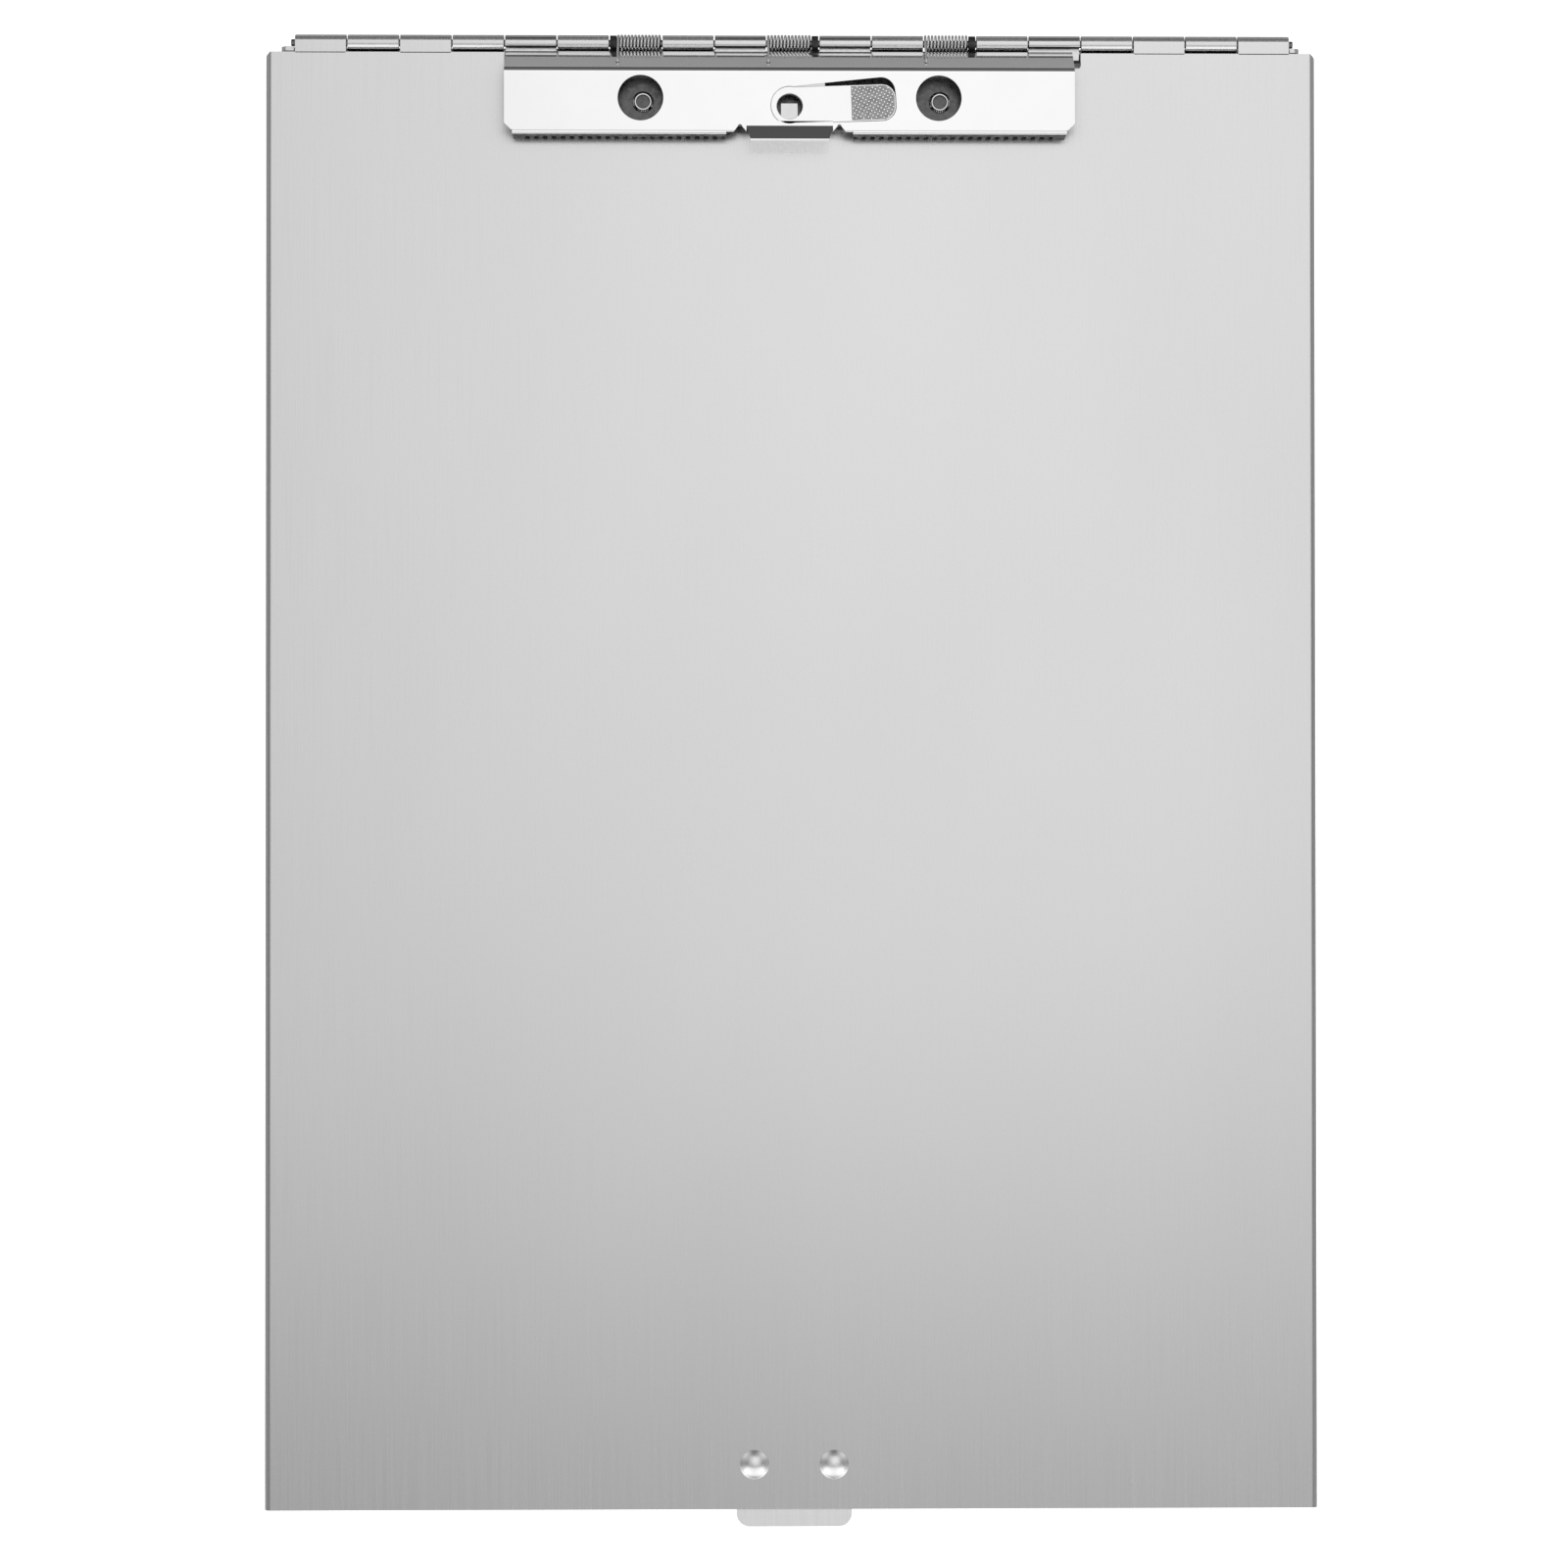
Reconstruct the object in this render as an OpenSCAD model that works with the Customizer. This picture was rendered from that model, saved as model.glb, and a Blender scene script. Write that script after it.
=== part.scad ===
// Top-hinged aluminium form box: a shallow tray, a writing board that is its lid, and a chromed
// spring clip that turns on the board's own hinge pin.
// +X is right, +Y points to the hinge, +Z is up. The closed box lies flat and the origin is under
// the middle of its outline. Profiles of hinge parts are drawn as (y, z) from the pin's axis.

/* [Box] */
// Width over the board's two side flanges
box_w = 238; // [200:1:280]
// Board from its rear shoulder to its front edge
board_len = 330.2; // [280:1:400]
// Clear depth between the tray's floor and the board
storage_depth = 12.7; // [11:0.1:25]
// Thickness of the aluminium sheet
sheet_t = 1; // [0.8:0.05:1.1]
// Outside radius of the sheet's long bends
bend_r = 1.4; // [1.2:0.1:2]
// Depth of the board's side flanges, from its top face
flange_h = 10; // [6:0.5:12]
// How far the side flanges run past the board's front edge
flange_overrun = 0.3; // [0.1:0.1:0.6]
// Clearance between the tray's sides and the board's flanges
side_gap = 0.4; // [0.2:0.1:1]
// Clearance between the tray's walls and the underside of the board
lid_gap = 0.4; // [0.2:0.1:0.8]
// Set-back of the tray's front wall from the board's front edge
front_setback = 0.6; // [0.3:0.1:2]
// Open slit between neighbouring tray walls at the two front corners
corner_slit = 0.4; // [0.2:0.1:1]
// Width cut away from the tray's two rear corners, outside its back wall
corner_relief = 2; // [1.6:0.1:3]

/* [Hinge] */
// Diameter of the hinge pin
pin_d = 1.6; // [1.2:0.1:2]
// Radial running clearance of everything that turns on the pin
pin_fit = 0.05; // [0.03:0.01:0.08]
// Length of the row of knuckles
hinge_w = 225.9; // [195:0.1:226]
// Sideways offset of the row of knuckles
hinge_shift = 0.36; // [0:0.01:1]
// Gap between neighbouring knuckles
knuckle_gap = 0.3; // [0.2:0.05:0.5]
// How far the pin stands out of the last knuckle at each end
pin_overhang = 0.8; // [0.3:0.1:1.5]
// Gap between the tray's knuckles and the board's edge in front of them
knuckle_relief = 0.45; // [0.1:0.05:0.5]

/* [Clip] */
// Width of the clip plate
clip_w = 128.6; // [120:0.1:129]
// Sideways offset of the clip
clip_shift = -0.5; // [-0.5:0.1:0.5]
// Height of the clip's flat top above the board
clip_h = 7.5; // [6:0.1:10]
// Thickness of the clip plate
clip_t = 0.8; // [0.6:0.05:0.9]
// Distance from the pin to the clip's front face
clip_reach = 21.85; // [21.6:0.05:24]
// Distance from the pin to the rear end of the flat top
clip_flat_start = 8.15; // [7.8:0.05:8.4]
// Slant of the clip's rear face, from the board
clip_slope = 56; // [54:1:57]
// Outside radius of the bend between the rear face and the flat top
clip_rear_r = 2; // [1.5:0.1:2.5]
// Inside radius of the bend between the flat top and the front face
clip_front_in = 0.1; // [0.05:0.05:0.4]
// Cut corner at each end of the flat top's front
clip_corner = 1.5; // [0.5:0.1:3]
// Gap between the clip's teeth and the board
jaw_gap = 0.1; // [0.05:0.05:0.3]
// Pitch of the teeth
tooth_pitch = 2.02; // [1.6:0.01:3]
// Height of the teeth
tooth_h = 1.5; // [1:0.1:2.5]
// Forward lean of the toothed strip
tooth_lean = 5; // [2:1:30]

/* [Finger tab] */
// Width of the tab at its root
tab_w = 19.5; // [14:0.5:24]
// Length of the tab along its slope
tab_len = 4.1; // [2.5:0.1:5]
// Upward slope of the tab
tab_rise = 32; // [15:1:45]
// Loss of width at each side towards the tip
tab_taper = 1; // [0:0.1:2]
// Set-back of the tab's crease from the clip's front bend
tab_setback = 0.8; // [0.6:0.05:0.9]
// Width of the notch at each side of the tab
tab_notch = 2.9; // [2:0.1:4]
// Depth of the notches behind the tab's crease
notch_depth = 0.45; // [0.2:0.05:0.5]

/* [Base plate] */
// Distance from the pin to the front edge of the plate that carries the clip
base_reach = 16.6; // [16.3:0.1:17.5]
// Spacing of the two tubular rivets
rivet_spacing = 67.2; // [60:0.1:76]
// Distance from the pin to the rivets and to the round access holes over them
rivet_reach = 13.8; // [13.4:0.1:14]
// Diameter of the access holes in the clip
access_d = 10.3; // [8:0.1:10.5]
// Outside diameter of the tubular rivets
tube_rivet_d = 3.9; // [3.4:0.1:4.2]
// Width of the lock stud's square head
stud_w = 3.9; // [3:0.1:4]
// Distance from the pin to the lock stud
stud_reach = 16.1; // [15.8:0.1:16.3]

/* [Lever] */
// Distance from the pin to the lever's pivot
lever_reach = 15.65; // [15.5:0.05:15.75]
// Distance from the lever's pivot to its free end
lever_len = 23.9; // [22:0.1:26]
// Radius of the lever's eye end
lever_eye_r = 4.2; // [4.1:0.05:4.3]
// Diameter of the lever's hole
lever_hole_d = 5.8; // [5:0.1:6]
// Width of the lever's arm
lever_w = 8.2; // [7.5:0.1:8.3]
// Length of the knurled thumb pad
pad_len = 9.8; // [6:0.1:11]
// Height of the thumb pad above the arm
pad_h = 0.25; // [0.1:0.05:0.5]
// Clearance between the lever and its window
lever_gap = 0.1; // [0.05:0.01:0.15]
// Tilt of the lever at rest, towards the hinge
lever_tilt = 2; // [1:0.5:4]
// Swing of the lever towards the hinge
lever_swing = 4; // [2:0.5:4.5]

/* [Springs] */
// Outside diameter of the coils
coil_od = 4.1; // [3.9:0.05:4.2]
// Diameter of the drawn wire
wire_d = 0.36; // [0.3:0.01:0.37]
// Full turns in each spring
coil_turns = 12; // [8:1:12]
// Pitch of the turns
coil_pitch = 0.775; // [0.75:0.005:0.78]
// Width of the clip's ears on the pin
ear_w = 1.5; // [1.2:0.1:1.6]
// Reach of the lower spring legs under the board
leg_reach = 6.6; // [6:0.1:8]
// Distance up the clip's rear face to the holes for the upper spring legs
leg_climb = 5.8; // [4.8:0.1:6]

/* [Latch] */
// Width of the latch strip
latch_w = 26.1; // [22:0.1:34]
// How far the finger edge stands out past the board
latch_out = 4.05; // [2:0.05:6]
// Thickness of the latch strip
latch_t = 0.8; // [0.6:0.05:1]
// Corner radius of the finger edge
latch_corner_r = 3; // [1:0.1:3.5]
// Sideways offset of the latch
latch_shift = 0.5; // [0:0.1:1]
// Spacing of the two dome rivets
dome_spacing = 18; // [14:0.1:20]
// Distance from the dome rivets to the board's front edge
dome_inset = 10.1; // [9:0.1:14]
// Diameter of the dome heads
dome_d = 6.6; // [5:0.1:7]
// Height of the dome heads
dome_h = 1.5; // [1:0.1:2]
// Depth of the latch's sprung tongue
tongue_h = 5; // [4:0.1:6]

/* [Hidden] */
$fn = 64;
tiny = 0.02; // overlap that makes two drawn shapes one solid
over = 5; // how far cutters run past what they cut

// Small fixed sizes
foot_lift = 0.15; // from the board's top to the foot of the clip's rear face
foot_gap = 0.5; // from the clip's foot to the board's edge
slot_gap = 0.3; // round the base plate in the board's slots, and round the coils in the back wall
ear_relief = 0.05; // the clip's ears are a little smaller than the knuckles
leg_run = 2.6; // straight run of an upper spring leg, before the coil
leg_turn = 0.7; // size of the bends in the spring legs
corner_gap = 0.3; // from the end of the clip's front wall to its cut corner
tongue_gap = 0.15; // from the front wall to the latch's tongue
tongue_side = 0.2; // beside the tongue, in the window it is bent out of
base_t = 1;
base_curl_end = 64; // angle at which the base plate's knuckles end, on top
base_riser = 3.9; // from the pin to the step in the base plate
base_tongue_w = 11;
base_tongue_len = 2.5;
rivet_flange = 0.5;
rivet_head_h = 0.35;
rivet_rim_h = 1;
rivet_wall = 0.3;
rivet_fit = 0.05;
tail_h = 0.5;
stud_top = 1.3;
stud_shank_r = 1.2;
dome_shank_r = 1.6;
leg_hole_r = 0.5;
leg_lift = 0.6;
bridge_t = 0.8;
bridge_hw = 8;
bridge_rim = 2.1;
collar_wall = 0.8;
collar_flange = 0.7;
lever_seat = 0.05;
lever_tip_r = 3.1;
pad_inset = 0.3;
bead_r = 0.6;
bead_out = 0.45;
tongue_w = 8;
front_lip = 0.4; // plain edge between the notches and the front walls
wall_start = 14.3; // from the middle of the clip to its front walls
shoulder_cut = 1; // cut rear corners of the board

// Hinge: who holds each place on the pin, from the left
places = ["board", "tray", "board", "tray", "base", "tray", "spring_left", "tray", "base",
    "spring_middle", "base", "tray", "spring_right", "tray", "base", "tray", "board", "tray",
    "board"];
ear_side = [["spring_left", -1], ["spring_middle", 1], ["spring_right", 1]];
place_w = hinge_w / len(places);
hinge_x0 = hinge_shift - hinge_w / 2;
bore_r = pin_d / 2 + pin_fit;
knuckle_r = bore_r + sheet_t;
coil_r = (coil_od - wire_d) / 2; // radius of the coil's centre line

// Heights. board_* are measured from the pin's axis
board_top = knuckle_r;
board_under = board_top - sheet_t;
pin_z = sheet_t + storage_depth - board_under;
wall_notch = coil_od / 2 + slot_gap; // depth of the back wall's notches under the pin
tray_wall_h = pin_z + board_under - lid_gap;

// Clip
clip_top = board_top + clip_h;
clip_under = clip_top - clip_t;
slope_foot = board_top + foot_lift;
clip_front_r = clip_front_in + clip_t;
flat_front = clip_reach - clip_front_r;
tab_crease = flat_front - tab_setback;
tooth_gap_w = tooth_pitch * 0.52;
tooth_n = floor((clip_w / 2 - clip_corner - wall_start - tooth_gap_w) / tooth_pitch);

// Springs: the upper leg leaves the coil at leg_touch, read from forward through up
spring_side_gap = (place_w - ear_w - coil_len() - wire_d) / 3;

// Lengths, forward from the pin's axis
shoulder = knuckle_r + knuckle_relief;
board_front = shoulder + board_len - knuckle_relief;
riser_front = base_riser + sheet_t;
clip_notch = riser_front + slot_gap; // front of the board's slots for the base plate
pin_y = (board_front + latch_out + coil_od / 2) / 2 - coil_od / 2;
tray_front = board_front - front_setback;
tray_hw = box_w / 2 - sheet_t - side_gap;

function coil_span() = coil_turns + (270 - leg_touch()) / 360; // turns between the two legs
function coil_len() = coil_span() * coil_pitch;
// Point on the outside of the clip's rear face, s up from its foot, lifted off it by h
function slope_tangent() = [clip_flat_start - clip_rear_r * sin(clip_slope),
    clip_top - clip_rear_r * (1 - cos(clip_slope))];
function slope_len() = (slope_tangent()[1] - slope_foot) / sin(clip_slope);
function on_slope(s, h) = slope_tangent()
    + (s - slope_len()) * [cos(clip_slope), sin(clip_slope)]
    + h * [-sin(clip_slope), cos(clip_slope)];
// Angle round the coil, from forward through up, at which the upper leg leaves it
function leg_top() = on_slope(leg_climb, leg_lift);
function leg_touch() = atan2(leg_top()[1], leg_top()[0]) + acos(coil_r / norm(leg_top()));
function place_left(i) = hinge_x0 + i * place_w;
function place_of(name) = [for (i = [0 : len(places) - 1]) if (places[i] == name) i];
function base_left() = place_left(min(place_of("base")));
function base_right() = place_left(max(place_of("base")) + 1);
function side_of(name) = [for (e = ear_side) if (e[0] == name) e[1]][0];
function ear_x(name) = let (x = place_left(place_of(name)[0]))
    side_of(name) < 0 ? x + spring_side_gap : x + place_w - spring_side_gap - ear_w;
function coil_x(name) = let (x = place_left(place_of(name)[0]) + spring_side_gap + wire_d / 2)
    side_of(name) < 0 ? x + ear_w + spring_side_gap : x;

// ---- drawing helpers ----

module at_pin() {
    translate([0, pin_y, pin_z]) children();
}

// A (y, z) profile drawn out along X
module along_x(x0, x1) {
    translate([x0, 0, 0]) rotate([90, 0, 90]) linear_extrude(x1 - x0) children();
}

// An (x, z) profile drawn out along Y
module along_y(y0, y1) {
    translate([0, y1, 0]) rotate([90, 0, 0]) linear_extrude(y1 - y0) children();
}

// A profile that turns the (forward, z) reading of the hinge into (y, z)
module forward() {
    mirror([1, 0]) children();
}

module wedge(a0, a1, r) {
    steps = ceil((a1 - a0) / 45);
    polygon(concat([[0, 0]],
        [for (i = [0 : steps]) let (a = a0 + (a1 - a0) * i / steps) 2 * r * [cos(a), sin(a)]]));
}

// Part of a sheet rolled round a centre, from angle a0 to a1
module rolled(r_in, r_out, a0, a1) {
    difference() {
        circle(r_out);
        circle(r_in);
        wedge(a1, a0 + 360, r_out);
    }
}

module bend(r_in, r_out, a0, a1) {
    intersection() {
        difference() {
            circle(r_out);
            circle(r_in);
        }
        wedge(a0, a1, r_out);
    }
}

// Rectangle from [x0, y0] to [x1, y1]
module box2d(x0, y0, x1, y1) {
    translate([x0, y0]) square([x1 - x0, y1 - y0]);
}

// Rectangle standing on y0 with its two upper corners rounded
module arch(hw, y0, y1, r) {
    box2d(-hw, y0, hw, y1 - r);
    box2d(-hw + r, y0, hw - r, y1);
    for (s = [-1, 1]) translate([s * (hw - r), y1 - r]) circle(r);
}

module knuckle_strip(name) {
    for (i = place_of(name))
        along_x(place_left(i) + knuckle_gap / 2, place_left(i + 1) - knuckle_gap / 2)
            forward() children();
}

// ---- tray ----

module pan(hw, y0, y1, z0, z1, r) {
    intersection() {
        along_y(y0, y1) mirror([0, 1]) arch(hw, -z1, -z0, r);
        along_x(-hw, hw) translate([(y0 + y1) / 2, 0])
            mirror([0, 1]) arch((y1 - y0) / 2, -z1, -z0, r);
    }
}

module tray() {
    back = pin_y - bore_r;
    front = pin_y - tray_front;
    strip_floor = pin_z + board_under - latch_t - lid_gap;
    color("silver") difference() {
        union() {
            difference() {
                pan(tray_hw, front, back, 0, tray_wall_h, bend_r);
                pan(tray_hw - sheet_t, front + sheet_t, back - sheet_t, sheet_t,
                    tray_wall_h + over, bend_r - sheet_t);
                // back wall under the row of knuckles
                translate([hinge_x0 - knuckle_gap / 2, back - sheet_t - tiny, pin_z - wall_notch])
                    cube([hinge_w + knuckle_gap, sheet_t + 2 * tiny, over + wall_notch]);
            }
            at_pin() knuckle_strip("tray") {
                box2d(bore_r, -wall_notch - tiny, knuckle_r, tiny);
                rolled(bore_r, knuckle_r, 0, 285);
            }
        }
        // slits where the front wall meets the sides, and the cut rear corners
        for (s = [-1, 1]) {
            translate([s * (tray_hw - sheet_t - corner_slit / 2), front + sheet_t / 2,
                bend_r + over / 2 + tray_wall_h / 2])
                cube([corner_slit, sheet_t + 2 * tiny, tray_wall_h + over], center = true);
            translate([s * tray_hw, pin_y, 0]) cube([2 * corner_relief, 2 * shoulder + 1,
                4 * tray_wall_h], center = true);
            // lowered end of the back wall, beside the end of the pin
            translate([s * (tray_hw - corner_relief), back, tray_wall_h]) rotate([0, 45, 0])
                cube([shoulder_cut * sqrt(2), 3 * sheet_t, shoulder_cut * sqrt(2)], center = true);
        }
        // way out for the latch strip, and the slot that its bead faces
        translate([latch_shift - latch_w / 2 - lid_gap, front - tiny, strip_floor])
            cube([latch_w + 2 * lid_gap, sheet_t + 2 * tiny, over]);
        translate([latch_shift - tongue_w / 2 - lid_gap, front - tiny, bead_z() - bead_r])
            cube([tongue_w + 2 * lid_gap, sheet_t + 2 * tiny, 2 * bead_r]);
    }
}

// ---- board ----

module board_section() {
    difference() {
        arch(box_w / 2, board_top - flange_h, board_top, bend_r);
        arch(box_w / 2 - sheet_t, board_top - flange_h - over, board_under,
            bend_r - sheet_t);
    }
}

module board() {
    clip_edge = on_slope(0, -clip_t)[0] + foot_gap;
    color("gainsboro") at_pin() difference() {
        union() {
            along_y(-board_front - flange_overrun, -shoulder) board_section();
            knuckle_strip("board") {
                box2d(0, board_under, shoulder + tiny, board_top);
                rolled(bore_r, knuckle_r, 90, 345);
            }
        }
        // the flanges' front ends are cut on a slant, and run a little past the board's edge
        along_x(-box_w, box_w) forward() polygon([[board_front, board_top + over],
            [board_front, board_under - bend_r], [board_front + flange_overrun + tiny,
            board_under - bend_r - over], [board_front + over, board_top + over]]);
        // cut rear corners
        for (s = [-1, 1]) translate([s * box_w / 2, -shoulder, 0]) rotate(45)
            cube([shoulder_cut * sqrt(2), shoulder_cut * sqrt(2), 4 * flange_h], center = true);
        // edge set back from the clip's foot, and slots for the base plate's knuckles
        translate([base_left(), -clip_edge, board_under - tiny])
            cube([base_right() - base_left(), clip_edge, sheet_t + 2 * tiny]);
        for (i = place_of("base")) translate([place_left(i), -clip_notch, board_under - tiny])
            cube([place_w, clip_notch, sheet_t + 2 * tiny]);
        for (x = [-rivet_spacing / 2, rivet_spacing / 2])
            translate([x, -rivet_reach, board_under - tiny])
                cylinder(h = sheet_t + 2 * tiny, r = tube_rivet_d / 2 + rivet_fit);
        translate([clip_shift, -stud_reach, board_under - tiny])
            cylinder(h = sheet_t + 2 * tiny, r = stud_shank_r + rivet_fit);
        for (x = dome_xs())
            translate([x, -board_front + dome_inset, board_under - tiny])
                cylinder(h = sheet_t + 2 * tiny, r = dome_shank_r + rivet_fit);
    }
}

// ---- hinge pin ----

module hinge_pin() {
    color("dimgray") at_pin() translate([hinge_x0 - pin_overhang, 0, 0]) rotate([0, 90, 0])
        cylinder(h = hinge_w + 2 * pin_overhang, d = pin_d);
}

// ---- base plate of the clip ----

module base_plate() {
    rear = clip_notch;
    color("lightgray") at_pin() difference() {
        union() {
            along_x(base_left() + knuckle_gap / 2, base_right() - knuckle_gap / 2) forward()
                box2d(rear, board_top, base_reach, board_top + base_t);
            translate([clip_shift - base_tongue_w / 2, -base_reach - base_tongue_len, board_top])
                cube([base_tongue_w, base_tongue_len + tiny, base_t]);
            knuckle_strip("base") {
                rolled(bore_r, knuckle_r, base_curl_end, 270);
                box2d(0, -knuckle_r, riser_front, -bore_r);
                box2d(riser_front - sheet_t, -knuckle_r, riser_front, board_top + base_t);
                box2d(riser_front - tiny, board_top, rear + tiny, board_top + base_t);
            }
        }
        for (x = [-rivet_spacing / 2, rivet_spacing / 2])
            translate([x, -rivet_reach, board_top - tiny])
                cylinder(h = base_t + 2 * tiny, r = tube_rivet_d / 2 + rivet_fit);
        translate([clip_shift, -stud_reach, board_top - tiny])
            cylinder(h = base_t + 2 * tiny, r = stud_shank_r + rivet_fit);
    }
}

// Half of a semi-tubular rivet's section: hollow shank with its rim and flange, and a solid head below
module base_rivets() {
    r = tube_rivet_d / 2;
    head_r = r + rivet_flange;
    seat = board_top + base_t;
    color("slategray") at_pin() for (x = [-rivet_spacing / 2, rivet_spacing / 2])
        translate([x, -rivet_reach, 0]) rotate_extrude() {
            box2d(r - rivet_wall, board_under - tiny, r, seat + rivet_rim_h);
            box2d(r - tiny, seat, head_r, seat + rivet_head_h);
            box2d(0, board_under - tail_h, head_r, board_under);
        }
}

module lock_stud() {
    seat = board_top + base_t;
    color("whitesmoke") at_pin() translate([clip_shift, -stud_reach, 0]) {
        translate([-stud_w / 2, -stud_w / 2, seat]) cube([stud_w, stud_w, stud_top]);
        translate([0, 0, board_under - tail_h])
            cylinder(h = seat - board_under + tail_h + tiny, r = stud_shank_r);
        translate([0, 0, board_under - tail_h]) cylinder(h = tail_h, r = 2 * stud_shank_r);
    }
}

// ---- clip ----

module clip_profile() {
    foot = on_slope(0, 0);
    t = slope_tangent();
    translate(foot) rotate(clip_slope) box2d(0, -clip_t, slope_len() + tiny, 0);
    translate([clip_flat_start, clip_top - clip_rear_r])
        bend(clip_rear_r - clip_t, clip_rear_r, 90 - tiny, 90 + clip_slope);
    box2d(clip_flat_start - tiny, clip_under, flat_front, clip_top);
}

module front_profile() {
    translate([flat_front, clip_top - clip_front_r])
        bend(clip_front_in, clip_front_r, 0, 90);
    box2d(clip_reach - clip_t, board_top + tooth_h, clip_reach, clip_top - clip_front_r + tiny);
}

// Comb of teeth, drawn flat: x along the jaw from the first tooth, y down from the flange
module comb() {
    difference() {
        box2d(0, (jaw_gap + clip_t * sin(tooth_lean) - tooth_h) / cos(tooth_lean),
            tooth_n * tooth_pitch + tooth_gap_w, tiny);
        for (i = [0 : tooth_n]) translate([i * tooth_pitch + tooth_gap_w / 2, 0]) {
            translate([0, -tooth_gap_w]) circle(d = tooth_gap_w, $fn = 24);
            box2d(-tooth_gap_w / 2, -over, tooth_gap_w / 2, -tooth_gap_w);
        }
    }
}

// Lever seen from above, its pivot at the origin, turned from the X axis by an angle
module lever_outline(angle, grow) {
    half = lever_w / 2 + grow;
    rotate(angle) {
        circle(lever_eye_r + grow);
        box2d(0, -half, lever_len - lever_tip_r, half);
        box2d(0, -half + lever_tip_r, lever_len + grow, half - lever_tip_r);
        for (s = [-1, 1]) translate([lever_len - lever_tip_r, s * (lever_w / 2 - lever_tip_r)])
            circle(lever_tip_r + grow);
    }
}

// Plan of the two rounded notches beside the finger tab, with y to the hinge
module tab_notches() {
    top_r = tab_notch * 0.16;
    apex = -tab_crease + notch_depth;
    for (s = [0, 1]) mirror([s, 0]) translate([(tab_w + tab_notch) / 2, 0]) {
        translate([0, apex - top_r]) circle(top_r, $fn = 24);
        polygon([[-top_r, apex - top_r], [top_r, apex - top_r],
            [tab_notch / 2, -flat_front - front_lip], [tab_notch / 2, -clip_reach - over],
            [-tab_notch / 2 - tab_taper, -clip_reach - over],
            [-tab_notch / 2 + tiny, -tab_crease]]);
    }
}

module clip_ear(name) {
    along_x(ear_x(name), ear_x(name) + ear_w) forward() difference() {
        union() {
            circle(knuckle_r - ear_relief);
            translate(on_slope(0, 0)) rotate(clip_slope) box2d(-2, -clip_t, tiny, 0);
        }
        circle(bore_r);
    }
}

// The bent sheet, with all that is cut in it but the spring legs' holes
module clip_sheet() {
    hw = clip_w / 2;
    tip_hw = tab_w / 2 - tab_taper;
    difference() {
        union() {
            difference() {
                along_x(-hw, hw) forward() clip_profile();
                // corners of the flat top, and the edge where the finger tab begins
                for (s = [-1, 1]) translate([s * hw, -flat_front, clip_top]) rotate(45)
                    cube([clip_corner * sqrt(2), clip_corner * sqrt(2), over], center = true);
                translate([-tab_w / 2, -clip_reach, clip_under - tiny])
                    cube([tab_w, clip_reach - tab_crease, clip_t + 2 * tiny]);
            }
            for (s = [0, 1]) mirror([s, 0, 0]) {
                along_x(tab_w / 2, wall_start + tiny) forward() box2d(flat_front - tiny,
                    clip_under, flat_front + front_lip, clip_top);
                along_x(wall_start, hw - clip_corner - corner_gap) forward() front_profile();
                // toothed strip, leaning forward
                translate([wall_start, -clip_reach, board_top + tooth_h])
                    rotate([90 - tooth_lean, 0, 0]) translate([0, 0, -clip_t])
                    linear_extrude(clip_t) comb();
            }
            translate([0, -tab_crease, clip_under]) rotate([-tab_rise, 0, 0])
                linear_extrude(clip_t) polygon([[-tab_w / 2, 0], [tab_w / 2, 0],
                    [tip_hw, -tab_len], [-tip_hw, -tab_len]]);
        }
        translate([0, 0, clip_under - tiny]) linear_extrude(over) tab_notches();
        for (x = [-rivet_spacing / 2, rivet_spacing / 2])
            translate([x, -rivet_reach, clip_under - tiny])
                cylinder(h = clip_t + 2 * tiny, d = access_d);
        // window: the lever's outline where it lies, and where it swings to
        translate([0, -lever_reach, clip_under - tiny]) linear_extrude(clip_t + 2 * tiny)
            for (part = [0, 0.5, 1])
                lever_outline(lever_tilt + part * lever_swing, lever_gap);
    }
}

module clip_plate() {
    color("whitesmoke") at_pin() difference() {
        union() {
            translate([clip_shift, 0, 0]) clip_sheet();
            for (e = ear_side) clip_ear(e[0]);
        }
        // holes that take the springs' upper legs
        for (e = ear_side) translate([coil_x(e[0]), -on_slope(leg_climb, 0)[0],
            on_slope(leg_climb, 0)[1]]) rotate([-clip_slope, 0, 0])
            cylinder(h = 4 * clip_t, r = leg_hole_r, center = true);
    }
}

// Strap under the flat top in which the lever's collar turns
module lever_bridge() {
    rear = lever_reach - lever_eye_r - bridge_rim;
    front = tab_crease - pin_fit;
    color("gainsboro") at_pin() translate([clip_shift, 0, 0]) difference() {
        translate([-bridge_hw, -front, clip_under - bridge_t])
            cube([2 * bridge_hw, front - rear, bridge_t]);
        translate([0, -lever_reach, clip_under - bridge_t - tiny])
            cylinder(h = bridge_t + 2 * tiny, r = collar_r() + pin_fit);
    }
}

function collar_r() = lever_hole_d / 2 + collar_wall;

module lever() {
    seat = clip_under + lever_seat;
    low = clip_under - bridge_t - lever_seat - collar_wall;
    color("snow") at_pin() translate([clip_shift, -lever_reach, 0]) difference() {
        union() {
            translate([0, 0, seat])
                linear_extrude(clip_top - seat) lever_outline(lever_tilt, 0);
            // knurled thumb pad
            translate([0, 0, seat]) linear_extrude(clip_top - seat + pad_h) intersection() {
                lever_outline(lever_tilt, -pad_inset);
                rotate(lever_tilt) box2d(lever_len - pad_len, -lever_w, lever_len, lever_w);
            }
            // collar through the bridge, rolled out below it
            translate([0, 0, low]) cylinder(h = clip_top - low, r = collar_r());
            translate([0, 0, low]) cylinder(h = collar_wall, r = collar_r() + collar_flange);
        }
        translate([0, 0, low - tiny]) cylinder(h = clip_top - low + over, d = lever_hole_d);
    }
}

// ---- springs ----

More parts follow.
